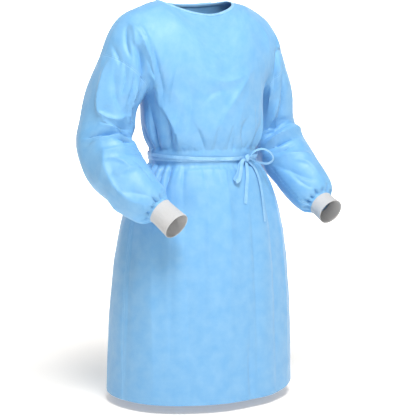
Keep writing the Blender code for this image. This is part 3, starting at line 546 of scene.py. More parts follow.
def body_cage():
    """Rows of cage points: the front's, and the back's with shared points where they meet."""
    rows = YOKE_ROWS + len(TORSO)
    points, front, back = [], [], []

    def add(p):
        points.append(tuple(map(float, p)))
        return len(points) - 1

    for row in range(rows):
        front.append([])
        back.append([])
        for column in range(HALF + 1):
            if row < YOKE_ROWS:
                front[row].append(add(yoke_point(row, column, -1)))
                shared = row == 0 and min(column, HALF - column) <= 4
                behind = yoke_point(row, column, 1)
            else:
                front[row].append(add(torso_point(row - YOKE_ROWS, column)))
                shared = column in (0, HALF)
                behind = torso_point(row - YOKE_ROWS, 2 * HALF - column)
            back[row].append(front[row][column] if shared else add(behind))
    return points, front, back


def smooth_form(levels):
    """The cage smoothed: the mesh, and for each piece the index of the vertex at each place."""
    points, front, back = body_cage()
    patches = [(front, FRONT, False), (back, BACK, True)]
    for arm, side, piece in ((ARM_R, -1, SLEEVE_R), (ARM_L, 1, SLEEVE_L)):
        edge = 0 if side < 0 else HALF
        loop = [front[r][edge] for r in range(YOKE_ROWS + 1)]
        loop += [back[r][edge] for r in range(YOKE_ROWS - 1, 0, -1)]
        grid = [loop + loop[:1]]
        for ring in arm_rings(arm, side):
            start = len(points)
            points += [tuple(map(float, p)) for p in ring]
            grid.append([start + k for k in range(ARM_COLUMNS)] + [start])
        patches.append((grid, piece, side > 0))
    faces, places, pieces = [], [], []
    for grid, piece, flip in patches:
        for r in range(len(grid) - 1):
            for c in range(len(grid[0]) - 1):
                corners = [(c, r), (c, r + 1), (c + 1, r + 1), (c + 1, r)]
                corners = corners[::-1] if flip else corners
                faces.append([grid[v][u] for u, v in corners])
                places += corners
                pieces.append(piece)
    shape = bpy.data.meshes.new("cage")
    shape.from_pydata(points, [], faces)
    chart = shape.uv_layers.new(name="chart")
    chart.data.foreach_set("uv", [float(x) for place in places for x in place])
    shape.polygons.foreach_set("material_index", pieces)
    guide = bpy.data.objects.new("cage", shape)
    bpy.context.scene.collection.objects.link(guide)
    smoother = guide.modifiers.new("smooth", "SUBSURF")
    smoother.levels = smoother.render_levels = levels
    smoother.uv_smooth = "NONE"
    form = bpy.data.meshes.new_from_object(guide.evaluated_get(bpy.context.evaluated_depsgraph_get()))
    bpy.data.objects.remove(guide)
    fine = 2**levels
    sizes = [(HALF, YOKE_ROWS + len(TORSO) - 1)] * 2 + [(ARM_COLUMNS, len(ARM_R))] * 2
    grids = [np.full((w * fine + 1, h * fine + 1), -1) for w, h in sizes]
    count = len(form.loops)
    uv, corner = np.empty(count * 2, np.float32), np.empty(count, np.int32)
    form.uv_layers["chart"].data.foreach_get("uv", uv)
    form.loops.foreach_get("vertex_index", corner)
    piece = np.empty(len(form.polygons), np.int32)
    form.polygons.foreach_get("material_index", piece)
    spots = np.rint(uv.reshape(-1, 2) * fine).astype(int)
    piece = np.repeat(piece, 4)
    for k, grid in enumerate(grids):
        mine = piece == k
        grid[spots[mine, 0], spots[mine, 1]] = corner[mine]
    return form, grids


def coordinates(mesh):
    values = np.empty(len(mesh.vertices) * 3)
    mesh.vertices.foreach_get("co", values)
    return values.reshape(-1, 3)


def normals_of(mesh):
    mesh.update()
    values = np.empty(len(mesh.vertices) * 3)
    mesh.vertex_normals.foreach_get("vector", values)
    return values.reshape(-1, 3)


def sample(values, grid, column, row):
    """values read at a place between the grid's vertices. Columns and rows are the cage's."""
    u = min(max(column * STEP, 0), grid.shape[0] - 1.001)
    v = min(max(row * STEP, 0), grid.shape[1] - 1.001)
    i, j = int(u), int(v)
    a, b = u - i, v - j
    near = values[grid[i, j]] * (1 - a) + values[grid[i + 1, j]] * a
    far = values[grid[i, j + 1]] * (1 - a) + values[grid[i + 1, j + 1]] * a
    return near * (1 - b) + far * b


SHAPE, GRIDS = smooth_form(LEVEL)
holes = [int((grid < 0).sum()) for grid in GRIDS]
print("smooth form:", len(SHAPE.vertices), "vertices; holes in the grids:", holes)

# %% [markdown]
# ## The main folds
#
# Cloth folds where it has too much length: over the armpit, inside the elbow, above and below the
# belt, and where a wide sleeve is gathered into a narrow cuff. Each fold here is a soft ridge or
# trough along a path through three places on the cloth. Heights and widths differ from row to row, as
# they do in the photograph, and the hidden side gets folds of the same kind.

# %% Fold tables
F, B, R, L = FRONT, BACK, SLEEVE_R, SLEEVE_L
FOLDS = (
    # from, through, to, height, width, lean
    # right shoulder and armpit
    ((F, 1.00, 1.5), (F, 0.40, 2.1), (R, 2.75, 0.5), -12, 13, 0.2),
    ((R, 2.75, 0.5), (R, 2.90, 1.7), (R, 3.10, 2.7), -10, 14, 0.0),
    ((F, 1.60, 1.0), (F, 1.40, 2.0), (F, 1.25, 4.4), 9, 13, 0.3),
    ((F, 2.00, 1.9), (F, 1.75, 2.6), (F, 1.70, 3.9), -6, 12, 0.0),
    ((R, 2.20, 0.6), (R, 2.40, 1.6), (R, 2.50, 2.8), 6, 12, 0.0),
    # chest
    ((F, 3.60, 3.7), (F, 3.60, 4.6), (F, 2.75, 6.3), -5, 20, 0.3),
    ((F, 1.40, 4.4), (F, 2.40, 5.3), (F, 2.50, 6.4), 5, 14, 0.0),
    ((F, 1.75, 4.7), (F, 2.00, 5.6), (F, 1.55, 6.5), -6, 12, 0.0),
    ((F, 0.30, 4.6), (F, 0.37, 5.6), (F, 0.30, 6.5), -7, 14, 0.0),
    ((F, 4.00, 5.3), (F, 4.25, 5.8), (F, 4.40, 6.5), -4, 12, 0.0),
    ((F, 7.10, 5.0), (F, 6.90, 5.6), (F, 7.50, 6.6), -4, 11, 0.0),
    ((F, 5.00, 3.4), (F, 6.00, 3.5), (F, 7.40, 3.3), 4, 16, -0.3),
    ((F, 7.40, 3.4), (F, 6.40, 4.1), (F, 5.60, 4.8), 4, 18, 0.0),
    # left armpit
    ((F, 10.9, 1.7), (F, 11.5, 2.4), (L, 2.70, 0.5), -7, 13, 0.0),
    ((L, 2.00, 0.2), (L, 2.35, 2.1), (L, 3.20, 4.8), -7, 12, 0.0),
    ((L, 2.40, 1.2), (L, 2.65, 2.7), (L, 3.00, 4.3), 6, 11, 0.0),
    # right upper arm, elbow and forearm
    ((R, 0.40, 0.3), (R, 0.60, 1.6), (R, 0.90, 2.3), 6, 12, 0.0),
    ((R, 0.80, 2.2), (R, 1.40, 2.5), (R, 2.10, 2.2), 5, 11, 0.0),
    ((R, 0.90, 0.5), (R, 1.30, 1.2), (R, 1.80, 1.8), -5, 18, 0.0),
    ((R, 1.00, 2.4), (R, 1.50, 3.5), (R, 2.60, 4.0), 5, 12, 0.0),
    ((R, 0.35, 4.3), (R, 1.40, 4.5), (R, 2.90, 4.4), -9, 7, 0.5),
    ((R, 0.60, 4.8), (R, 1.60, 4.9), (R, 2.90, 4.8), 6, 8, 0.0),
    ((R, 1.60, 5.2), (R, 2.20, 5.3), (R, 3.10, 5.2), -7, 6, 0.5),
    ((R, 0.90, 5.6), (R, 1.60, 5.9), (R, 2.80, 6.0), 5, 12, 0.0),
    ((R, 1.40, 6.4), (R, 2.00, 6.4), (R, 3.00, 6.4), -4, 11, 0.0),
    ((R, 1.00, 5.5), (R, 0.40, 7.2), (R, 0.60, 8.5), 5, 15, 0.0),
    ((R, 0.70, 6.9), (R, 1.30, 7.1), (R, 1.90, 7.2), 4, 12, 0.0),
    ((R, 4.60, 4.2), (R, 5.60, 4.4), (R, 6.60, 4.1), -5, 13, 0.0),
    # left elbow and forearm
    ((L, 3.40, 4.5), (L, 2.30, 4.4), (L, 1.00, 4.0), -7, 8, 0.4),
    ((L, 3.70, 5.0), (L, 2.40, 5.1), (L, 0.80, 4.6), 9, 13, 0.2),
    ((L, 3.60, 5.4), (L, 2.80, 5.6), (L, 1.60, 5.5), -8, 7, 0.5),
    ((L, 3.00, 6.2), (L, 2.40, 6.5), (L, 1.60, 6.8), 5, 13, 0.0),
    ((L, 3.60, 6.6), (L, 3.00, 7.6), (L, 2.50, 8.2), -5, 15, 0.0),
    ((L, 4.60, 4.1), (L, 5.60, 4.3), (L, 6.60, 4.0), -5, 13, 0.0),
    # broad folds down the skirt
    ((B, 0.20, 8.0), (F, 0.20, 9.6), (F, 0.10, 12.), -5, 26, 0.0),
    ((F, 1.60, 8.4), (F, 1.80, 9.8), (F, 1.90, 12.), 5, 32, 0.0),
    ((F, 3.10, 8.3), (F, 3.50, 10.), (F, 3.60, 12.), -6, 34, 0.0),
    ((F, 5.80, 7.5), (F, 5.60, 9.0), (F, 5.30, 12.), 6, 40, 0.0),
    ((F, 8.20, 8.0), (F, 8.10, 10.), (F, 8.00, 12.), -7, 34, 0.0),
    ((F, 10.1, 8.0), (F, 10.2, 10.), (F, 10.3, 12.), 6, 36, 0.0),
    ((B, 11.6, 8.0), (B, 11.4, 10.), (B, 11.5, 12.), -8, 32, 0.0),
    ((B, 9.30, 7.8), (B, 9.10, 10.), (B, 9.00, 12.), -9, 34, 0.0),
    ((B, 7.80, 8.0), (B, 7.70, 10.), (B, 7.60, 12.), 6, 34, 0.0),
    ((B, 4.00, 7.8), (B, 4.20, 10.), (B, 4.20, 12.), -9, 34, 0.0),
    ((B, 2.20, 8.0), (B, 2.10, 10.), (B, 2.20, 12.), 7, 36, 0.0),
)

# Gathers at the belt that reach up the body and down the skirt
WAIST_GATHERS = (
    # piece, column, depth above, depth below, how far their ends swing in columns
    (F, 0.55, 4, 7, -.15), (F, 1.25, 0, 8, 0.15), (F, 1.95, 4, 8, 0.10), (F, 3.00, 0, 3, 0.15),
    (F, 4.30, 0, 2, 0.30), (F, 5.15, 3, 1, 0.10), (F, 6.40, 3, 1, -0.1), (F, 8.60, 5, 6, 0.20),
    (F, 9.60, 6, 7, -0.1), (F, 10.6, 6, 8, 0.10), (F, 11.5, 7, 7, -0.1), (B, 0.30, 6, 8, 0.30),
    (B, 1.30, 7, 6, 0.10),
    (B, 2.35, 6, 8, -0.1), (B, 3.30, 8, 7, 0.20), (B, 4.40, 6, 8, 0.10), (B, 5.50, 6, 7, -0.1),
    (B, 6.50, 7, 8, 0.10), (B, 7.55, 8, 7, -0.1), (B, 8.60, 6, 8, -0.2), (B, 9.60, 7, 8, 0.10),
    (B, 10.7, 7, 7, -0.2), (B, 11.6, 6, 8, -0.1),
)
GATHER_WIDTH = 7

# Gathers where a sleeve meets its cuff
CUFF_GATHERS = (
    # column, depth, row it starts from
    (0.15, 4.0, 9.0), (0.70, 3.2, 9.2), (1.25, 4.6, 8.8), (1.80, 3.6, 9.1), (2.40, 4.2, 8.9),
    (2.95, 3.2, 9.2), (3.50, 4.2, 9.0), (4.10, 3.4, 9.1), (4.65, 4.4, 8.9), (5.20, 3.4, 9.2),
    (5.80, 4.4, 8.9), (6.35, 3.2, 9.1), (6.90, 4.2, 9.0), (7.50, 3.6, 9.1),
)
CUFF_GATHER_WIDTH = 4.6

# The belt's row, and how far in rows the cloth is pressed flat on each side of it
BELT_ROW = 7
PRESSED = 0.36

# %% [markdown]
# ## The fine creases
#
# Between the main folds the thin cloth puckers: short sharp creases run out of the armhole seams, the
# crook of each elbow and the belt, and faint ones cross the chest. They are narrower than the solids
# can hold, so they are made only here, on the finer mesh.

# %% Fine crease tables
FINE_CREASES = (
    # from, through, to, height, width, lean
    # puckers out of the right armhole
    ((F, 1.38, 0.75), (F, 0.75, 1.00), (F, 0.38, 1.38), -3.0, 6, 0.2),
    ((F, 0.38, 0.38), (F, 0.12, 0.75), (R, 1.00, 0.12), -2.5, 6, 0.0),
    ((F, 1.62, 1.00), (F, 1.12, 1.38), (F, 1.00, 1.38), 2.0, 7, 0.0),
    ((F, 0.90, 1.30), (F, 0.50, 1.70), (R, 2.20, 0.30), -2.5, 6, 0.0),
    ((R, 1.20, 0.00), (R, 1.45, 0.50), (R, 1.55, 1.10), -2.5, 6, 0.0),
    ((R, 1.75, 0.00), (R, 1.95, 0.60), (R, 2.05, 1.30), -2.5, 5, 0.0),
    ((R, 2.45, 0.00), (R, 2.55, 0.70), (R, 2.70, 1.50), -2.0, 5, 0.0),
    ((F, 1.90, 1.20), (F, 1.80, 1.70), (F, 1.55, 2.30), 2.0, 6, 0.0),
    ((F, 1.05, 2.20), (F, 0.95, 2.90), (F, 1.00, 3.70), -2.0, 6, 0.0),
    ((F, 0.55, 2.70), (F, 0.80, 3.40), (F, 0.95, 4.20), 2.0, 6, 0.0),
    # chest, between the big folds
    ((F, 2.90, 4.60), (F, 2.60, 5.30), (F, 2.10, 6.20), -2.0, 8, 0.0),
    ((F, 3.30, 3.00), (F, 2.70, 3.50), (F, 2.20, 4.20), 1.5, 10, 0.0),
    ((F, 4.60, 4.30), (F, 5.10, 4.00), (F, 5.90, 3.90), -1.5, 9, 0.0),
    ((F, 5.30, 4.90), (F, 5.00, 5.50), (F, 4.90, 6.30), 1.5, 9, 0.0),
    ((F, 6.20, 5.20), (F, 6.00, 5.90), (F, 5.90, 6.60), -1.5, 8, 0.0),
    ((F, 8.10, 4.50), (F, 8.30, 5.40), (F, 8.20, 6.50), -2.0, 8, 0.0),
    ((F, 9.10, 4.70), (F, 9.20, 5.60), (F, 9.10, 6.60), 2.0, 8, 0.0),
    ((F, 10.4, 4.60), (F, 10.3, 5.50), (F, 10.2, 6.60), -2.5, 8, 0.0),
    # crook of the right elbow
    ((R, 1.88, 4.12), (R, 2.40, 4.22), (R, 2.85, 4.25), -3.5, 5, 0.0),
    ((R, 2.00, 4.70), (R, 2.50, 4.78), (R, 3.10, 4.72), -3.0, 5, 0.0),
    ((R, 1.88, 5.50), (R, 2.15, 5.58), (R, 2.40, 5.62), -3.0, 5, 0.0),
    ((R, 1.10, 3.30), (R, 1.90, 3.60), (R, 2.60, 3.55), -2.0, 7, 0.0),
    ((R, 2.20, 5.10), (R, 2.70, 5.25), (R, 3.30, 5.20), 2.0, 6, 0.0),
    ((R, 0.80, 6.10), (R, 1.30, 6.50), (R, 1.50, 7.10), 2.0, 8, 0.0),
    ((R, 1.90, 6.90), (R, 2.20, 7.50), (R, 2.20, 8.20), -2.0, 8, 0.0),
    ((R, 0.50, 7.70), (R, 0.90, 8.10), (R, 1.20, 8.70), -2.0, 8, 0.0),
    # crook of the left elbow
    ((L, 3.40, 4.10), (L, 2.70, 4.15), (L, 1.90, 3.85), -2.5, 6, 0.0),
    ((L, 3.50, 4.75), (L, 2.80, 4.80), (L, 1.90, 4.60), -2.5, 5, 0.0),
    ((L, 3.40, 5.80), (L, 2.90, 6.00), (L, 2.20, 6.00), -2.5, 6, 0.0),
    ((L, 2.60, 6.90), (L, 2.20, 7.30), (L, 2.00, 8.00), 2.0, 8, 0.0),
    ((L, 3.30, 7.20), (L, 3.20, 7.90), (L, 2.90, 8.60), -2.0, 7, 0.0),
    # left armhole
    ((F, 11.6, 1.10), (F, 11.2, 1.50), (F, 10.8, 2.10), -2.0, 6, 0.0),
    ((L, 1.90, 0.00), (L, 2.10, 0.70), (L, 2.40, 1.60), -2.0, 6, 0.0),
    ((L, 2.90, 0.20), (L, 2.95, 1.10), (L, 3.00, 2.20), 2.0, 6, 0.0),
    # the back, above the belt and at the armholes
    ((B, 1.10, 1.20), (B, 0.70, 1.70), (B, 0.30, 2.30), -2.5, 6, 0.0),
    ((B, 10.9, 1.20), (B, 11.3, 1.70), (B, 11.7, 2.30), -2.5, 6, 0.0),
    ((B, 1.80, 3.00), (B, 2.40, 4.00), (B, 2.60, 5.40), 2.0, 10, 0.0),
    ((B, 9.90, 3.00), (B, 9.40, 4.00), (B, 9.20, 5.40), 2.0, 10, 0.0),
    ((B, 3.60, 4.20), (B, 3.90, 5.20), (B, 3.80, 6.50), -2.5, 8, 0.0),
    ((B, 6.20, 4.80), (B, 6.00, 5.60), (B, 6.10, 6.60), -2.5, 8, 0.0),
    # the skirt's faint creases
    ((F, 4.60, 8.20), (F, 4.50, 9.40), (F, 4.55, 11.0), 1.5, 14, 0.0),
    ((F, 2.60, 8.60), (F, 2.75, 9.60), (F, 2.70, 11.4), -1.5, 14, 0.0),
    ((F, 6.80, 8.90), (F, 6.70, 10.0), (F, 6.75, 11.7), -1.5, 16, 0.0),
    ((F, 9.20, 8.60), (F, 9.25, 9.80), (F, 9.20, 11.6), 1.5, 14, 0.0),
    ((F, 6.30, 11.2), (F, 6.35, 11.6), (F, 6.40, 12.0), -3.0, 16, 0.0),
)

# Close gathers on both sides of the belt: a fine pucker about every 15 mm
BELT_PUCKERS = (F, 0.5, 12.0), (B, 0.5, 12.0)
PUCKER_DEPTH, PUCKER_WIDTH = 2.2, 4.0

# %% Folding
# how many times deeper than its table each kind of fold is
MAIN_DEPTH, SKIRT_DEPTH, GATHER_DEPTH, CUFF_DEPTH, FINE_DEPTH = 2.1, 1.4, 1.9, 3.4, 3.3
# how round a fold's crest is, and how much it leans where its table says nothing
CREST = 1.12
STEEP = 0.55


def fold_height(points, normals, path, facing, height, width, lean):
    """How far each point rises for one fold: a soft ridge along the path that dies away at both ends."""
    reach = 3 * width * (1 + abs(lean))
    near = np.all((points > path.min(0) - reach) & (points < path.max(0) + reach), axis=1).nonzero()[0]
    rise = np.zeros(len(points))
    if not len(near):
        return rise
    p, n = points[near], normals[near]
    starts, steps = path[:-1], np.diff(path, axis=0)
    offsets = p[:, None, :] - starts[None]
    along = np.clip((offsets * steps).sum(2) / (steps**2).sum(1), 0, 1)
    gaps = offsets - along[..., None] * steps
    distance = np.sqrt((gaps**2).sum(2))
    nearest = distance.argmin(1)
    rows = np.arange(len(near))
    gap, step = gaps[rows, nearest], steps[nearest]
    place = (nearest + along[rows, nearest]) / len(steps)
    right = np.cross(step, facing[nearest])
    side = np.sign((gap * right).sum(1))
    spread = width * (1 - lean * side)
    taper = np.sin(math.pi * np.clip(0.06 + 0.88 * place, 0, 1)) ** 0.7
    same_side = np.clip((n * facing[nearest]).sum(1) * 2, 0, 1)
    rise[near] = height * np.exp(-((distance[rows, nearest] / spread) ** CREST)) * taper * same_side
    return rise


def fold_path(points, normals, grids, places, count=12):
    """The points and facings along a fold that runs through three places."""
    line, facing = [], []
    first, middle, last = [
        (sample(points, grids[k], u, v), sample(normals, grids[k], u, v)) for k, u, v in places
    ]
    for n in range(count + 1):
        t = n / count
        weights = ((1 - t) * (1 - 2 * t), 4 * t * (1 - t), t * (2 * t - 1))
        line.append(sum(w * p[0] for w, p in zip(weights, (first, middle, last))))
        facing.append(sum(w * p[1] for w, p in zip(weights, (first, middle, last))))
    return np.array(line), np.array(facing)


def all_folds():
    """Every fold of the tables as places, height, width and lean."""
    folds = []
    for *places, height, width, lean in FOLDS:
        depth = SKIRT_DEPTH if places[-1][2] > 8.5 and places[-1][0] in (FRONT, BACK) else MAIN_DEPTH
        folds.append((*places, height * depth, width, lean or STEEP * (-1) ** len(folds)))
    for piece, column, above, below, swing in WAIST_GATHERS:
        if above:
            places = [(piece, column, 6.75), (piece, column, 6.2), (piece, column + swing, 5.3)]
            folds.append((*places, -above * GATHER_DEPTH, GATHER_WIDTH, 0.0))
        if below:
            places = [(piece, column, 7.25), (piece, column, 7.7), (piece, column + swing, 8.5)]
            folds.append((*places, -below * GATHER_DEPTH, GATHER_WIDTH, 0.0))
    for piece, turn in ((SLEEVE_R, 0.0), (SLEEVE_L, 0.3)):
        for column, depth, row in CUFF_GATHERS:
            u = (column + turn) % ARM_COLUMNS
            places = [(piece, u, row), (piece, u, (row + 10) / 2), (piece, u, 9.98)]
            folds.append((*places, -depth * CUFF_DEPTH, CUFF_GATHER_WIDTH, 0.0))
    return folds


def press_under_belt(points, grids):
    """Flattens the cloth under the belt, so its width there is the waist's."""
    for grid in grids[:2]:
        rows = np.arange(grid.shape[1]) / STEP
        away = np.abs(rows - BELT_ROW)
        pressed = 1 - np.clip((away - PRESSED) / 0.3, 0, 1)
        pressed = pressed**2 * (3 - 2 * pressed)
        waist = points[grid[:, BELT_ROW * STEP]][:, None, :2]
        cloth = points[grid]
        cloth[..., :2] += (waist - cloth[..., :2]) * pressed[None, :, None]
        points[grid] = cloth

# %% [markdown]
# ## Small movements all over
#
# No cloth is quite smooth. A low, wide noise gives the slight crumple of a gown that was packed flat,
# and each seam pulls the cloth into a narrow valley with little puckers across it. All of this is real
# relief in the mesh, so it also shows from the side.

# %% Seam distances, crumple and puckers
CRUMPLE_SIZE, CRUMPLE_HEIGHT = 0.075, 0.0110
# row and share of the crumple
CRUMPLE_DOWN_BODY = ((0.0, 0.40), (6.8, 0.50), (8.5, 0.32), (12.0, 0.28))
CRUMPLE_DOWN_SLEEVE = ((0.0, 0.45), (1.2, 0.8), (3.0, 1.0), (8.5, 0.8), (9.6, 0.4))
RIPPLE_SIZE, RIPPLE_HEIGHT = 0.030, 0.0006
SEAM_VALLEY, SEAM_VALLEY_WIDTH = 0.0009, 0.0028
SEAM_PUCKER, SEAM_PUCKER_REACH, SEAM_PUCKER_LENGTH = 0.0007, 0.014, 0.013


def lengths_along(points, axis):
    """Distance run along an axis of a grid of points, from its first row."""
    steps = np.linalg.norm(np.diff(points, axis=axis), axis=2)
    start = np.zeros_like(np.take(steps, [0], axis))
    return np.concatenate((start, np.cumsum(steps, axis)), axis)


def seam_places(points, grids):
    """For each piece: distance to its nearest seam, and distance along that seam, in metres."""
    found = []
    for k, grid in enumerate(grids):
        p = points[grid]
        across, down = lengths_along(p, 0), lengths_along(p, 1)
        width, height = grid.shape
        u = np.arange(width)[:, None] / STEP + np.zeros((1, height))
        if k in (FRONT, BACK):
            right, left = across, across[-1:] - across
            choices = [(right, down), (left, down)]
            shoulder = np.where((u <= 4) | (u >= 8), down, 1.0)
            choices.append((shoulder, across))
        else:
            turn = across[-1:]
            inner = np.abs(across - across[4 * STEP][None])
            choices = [(down, across), (np.minimum(inner, turn - inner), down)]
        distance = np.array([c[0] for c in choices])
        along = np.array([np.broadcast_to(c[1], distance[0].shape) for c in choices])
        nearest = distance.argmin(0)[None]
        found.append([np.take_along_axis(values, nearest, 0)[0] for values in (distance, along)])
    return found


def crumple_share(count, grids):
    """How strongly each point is crumpled: least on the skirt, most on the sleeves."""
    share = np.zeros(count)
    for number, grid in enumerate(grids):
        places, shares = np.array(CRUMPLE_DOWN_BODY if number < 2 else CRUMPLE_DOWN_SLEEVE).T
        share[grid] = np.interp(np.arange(grid.shape[1]) / STEP, places, shares)[None, :]
    return share


def small_relief(points, grids, seams):
    ridges = [0.25 - abs(noise.noise(Vector((x, y, z * 0.6)) / CRUMPLE_SIZE)) for x, y, z in points]
    ripples = [noise.noise(Vector((x, y, z)) / RIPPLE_SIZE + Vector((7, 3, 5))) for x, y, z in points]
    rise = CRUMPLE_HEIGHT * np.array(ridges) * crumple_share(len(points), grids)
    rise += RIPPLE_HEIGHT * np.array(ripples)
    done = np.full(len(points), False)
    for grid, (distance, along) in zip(grids, seams):
        fresh = ~done[grid]
        wave = np.sin(2 * math.pi * along / SEAM_PUCKER_LENGTH + 2.0 * np.sin(along / 0.05))
        sewn = SEAM_PUCKER * wave * np.exp(-distance / SEAM_PUCKER_REACH)
        sewn -= SEAM_VALLEY * np.exp(-((distance / SEAM_VALLEY_WIDTH) ** 2))
        rise[grid[fresh]] += sewn[fresh]
        done[grid] = True
    return rise


def belt_puckers():
    folds = []
    rng = np.random.default_rng(5)
    for piece, first, last in BELT_PUCKERS:
        column = first
        while column < last:
            depth, swing = PUCKER_DEPTH * rng.uniform(0.5, 1.2), rng.uniform(-0.12, 0.12)
            for near, far in ((6.80, 6.80 - rng.uniform(0.35, 0.8)), (7.20, 7.20 + rng.uniform(0.35, 0.8))):
                middle = (piece, column, (near + far) / 2)
                places = [(piece, column, near), middle, (piece, column + swing, far)]
                folds.append((*places, -depth, PUCKER_WIDTH, 0.0))
            column += rng.uniform(0.28, 0.52)
    return folds


def folded_form(mesh, grids):
    """The cloth's middle surface with every fold: points, normals, grids and seam places."""
    points, normals = coordinates(mesh), normals_of(mesh)
    press_under_belt(points, grids)
    rise = np.zeros(len(points))
    fine = [(*places, height * FINE_DEPTH, width, lean or STEEP)
            for *places, height, width, lean in FINE_CREASES]
    for *places, height, width, lean in all_folds() + fine + belt_puckers():
        path, facing = fold_path(points, normals, grids, places)
        rise += fold_height(points, normals, path, facing, height / 1000, width / 1000, lean)
    seams = seam_places(points, grids)
    rise += small_relief(points, grids, seams)
    for grid in grids[:2]:
        away = np.abs(np.arange(grid.shape[1]) / STEP - BELT_ROW)
        rise[grid] *= np.clip((away - 0.22) / 0.30, 0, 1)[None, :]
    for grid in grids[2:]:
        rows = np.arange(grid.shape[1]) / STEP
        rise[grid] *= np.clip((len(ARM_R) - rows) / 0.25, 0, 1)[None, :]
    points += normals * rise[:, None]
    mesh.vertices.foreach_set("co", points.ravel())
    return points, normals_of(mesh), grids, seams


FORM = folded_form(SHAPE, GRIDS)
print("folds:", len(all_folds()), "main,", len(FINE_CREASES) + len(belt_puckers()), "fine")

# %% [markdown]
# ## The panels
#
# Each panel is a thin shell on this surface: an outer and an inner skin, joined round the edge. The
# right back lies outside the left one where they lap. Each corner also gets its place on the flat cut,
# in metres, so the cloth's grain runs with the panel, and its place by the nearest seam.

# %% Build the panels
CLOTH_WALL = 0.0008
RIGHT_BACK_EDGE = 7
LEFT_BACK_EDGE = 5
# row, and how far each back stands off the middle of the lap there
OVERLAP = ((0.0, 0.0039), (0.4, 0.0037), (1.5, 0.0016), (12.0, 0.0016))


def overlap_offset(side):
    """How far a back stands out of the middle surface: the right back outside the left one."""
    def offset(column, row):
        inward = column if side > 0 else HALF - column
        blend = np.clip((inward - 4.1) / 0.9, 0.0, 1.0)
        return side * np.interp(row, *zip(*OVERLAP)) * blend**2 * (3 - 2 * blend)
    return offset


def add_corner_layer(shape, name, values, corners):
    layer = shape.uv_layers.new(name=name)
    layer.data.foreach_set("uv", values[corners].astype(np.float32).ravel())


def shell(name, outer, inner, cut, seam, material, wrap=False, swap=False):
    """A closed thin wall from two grids of points, with its cut and seam places on each corner."""
    width, height = outer.shape[:2]
    index = np.arange(width * height).reshape(width, height)
    if wrap:
        joined = index.copy()
        joined[-1] = joined[0]
    else:
        joined = index
    a, b, c, d = [(slice(None, -1), slice(None, -1)), (slice(None, -1), slice(1, None)),
                  (slice(1, None), slice(1, None)), (slice(1, None), slice(None, -1))]
    order = (a, b, c, d) if not swap else (d, c, b, a)
    skin = np.stack([joined[k] for k in order], -1).reshape(-1, 4)
    place = np.stack([index[k] for k in order], -1).reshape(-1, 4)
    count = width * height
    quads = [skin, skin[:, ::-1] + count]
    spots = [place, place[:, ::-1]]
    borders = [(index[:, 0], joined[:, 0], False), (index[:, -1], joined[:, -1], True)]
    if not wrap:
        borders += [(index[0], joined[0], True), (index[-1], joined[-1], False)]
    for where, line, turned in borders:
        turned = turned != swap
        ends = [line[:-1], line[1:], line[1:] + count, line[:-1] + count]
        marks = [where[:-1], where[1:], where[1:], where[:-1]]
        if turned:
            ends, marks = ends[::-1], marks[::-1]
        quads.append(np.stack(ends, -1))
        spots.append(np.stack(marks, -1))
    quads, spots = np.concatenate(quads), np.concatenate(spots)
    points = np.concatenate((outer.reshape(-1, 3), inner.reshape(-1, 3)))
    used, compact = np.unique(quads, return_inverse=True)
    quads = compact.reshape(quads.shape)
    shape = bpy.data.meshes.new(name)
    shape.from_pydata(points[used].tolist(), [], quads.tolist())
    shape.polygons.foreach_set("use_smooth", np.ones(len(quads), bool))
    add_corner_layer(shape, "cut", cut.reshape(-1, 2), spots.ravel())
    add_corner_layer(shape, "seam", seam.reshape(-1, 2), spots.ravel())
    shape.set_sharp_from_angle(angle=math.radians(60))
    shape.materials.append(material)
    made = bpy.data.objects.new(name, shape)
    bpy.context.scene.collection.objects.link(made)
    return made


def make_panel(name, piece, first=0, last=None, offset=None):
    points, normals, grids, seams = FORM
    wrap = piece >= SLEEVE_R
    grid = grids[piece]
    last = grid.shape[0] - 1 if last is None else last
    grid = grid[first:last + 1]
    middle, facing = points[grid], normals[grid]
    columns, rows = np.arange(first, last + 1) / STEP, np.arange(grid.shape[1]) / STEP
    out = offset(columns[:, None], rows[None, :]) if offset else 0.0
    out = np.broadcast_to(out, grid.shape)[..., None]
    across, down = lengths_along(middle, 0), lengths_along(middle, 1)
    centre = across[len(across) // 2][None]
    cut = np.stack((across - centre, np.broadcast_to(down.mean(0)[None], across.shape)), -1)
    seam = np.stack(seams[piece], -1)[first:last + 1]
    swap = piece in (BACK, SLEEVE_L)
    made = shell(name, middle + facing * (out + CLOTH_WALL / 2), middle + facing * (out - CLOTH_WALL / 2),
                 cut, seam, CLOTH, wrap, swap)
    area = sum(polygon.area for polygon in made.data.polygons) / 2
    widest, longest = float(across[-1].max()), float(down[:, -1].max())
    print(f"{name}: cloth {area:.3f} m2, widest {widest:.3f} m, longest {longest:.3f} m")
    return made, area, widest, longest


PANELS = (
    # name, node, piece, first and last vertex columns, which way it stands off where the backs lap
    ("front_panel", "front", FRONT, 0, None, None),
    ("right_back_panel", "back_right", BACK, 0, RIGHT_BACK_EDGE * STEP, overlap_offset(1)),
    ("left_back_panel", "back_left", BACK, LEFT_BACK_EDGE * STEP, None, overlap_offset(-1)),
    ("right_sleeve", "sleeve_right", SLEEVE_R, 0, None, None),
    ("left_sleeve", "sleeve_left", SLEEVE_L, 0, None, None),
)


def dress(piece, node_name):
    """Ties a piece to the one body and hides the plain solid it stands for."""
    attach(piece, "root")
    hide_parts(node_name)


for name, node_name, piece, first, last, offset in PANELS:
    made, area, width, length = make_panel(name, piece, first, last, offset)
    dress(made, node_name)

# %% [markdown]
# ## The knit cuffs
#
# A cuff is a tube of fine rib knit, folded double at the open end and sewn to the gathered sleeve.
# The ribs run along the arm. Real ribs are modelled as ridges round the tube, and a shallow step near
# the mouth shows where the doubled edge ends.

# %% Knit finish
KNIT_WHITE = (0.64, 0.635, 0.63)
KNIT_SHADE = (0.46, 0.46, 0.46)
KNIT_FUZZ = (0.70, 0.70, 0.70)


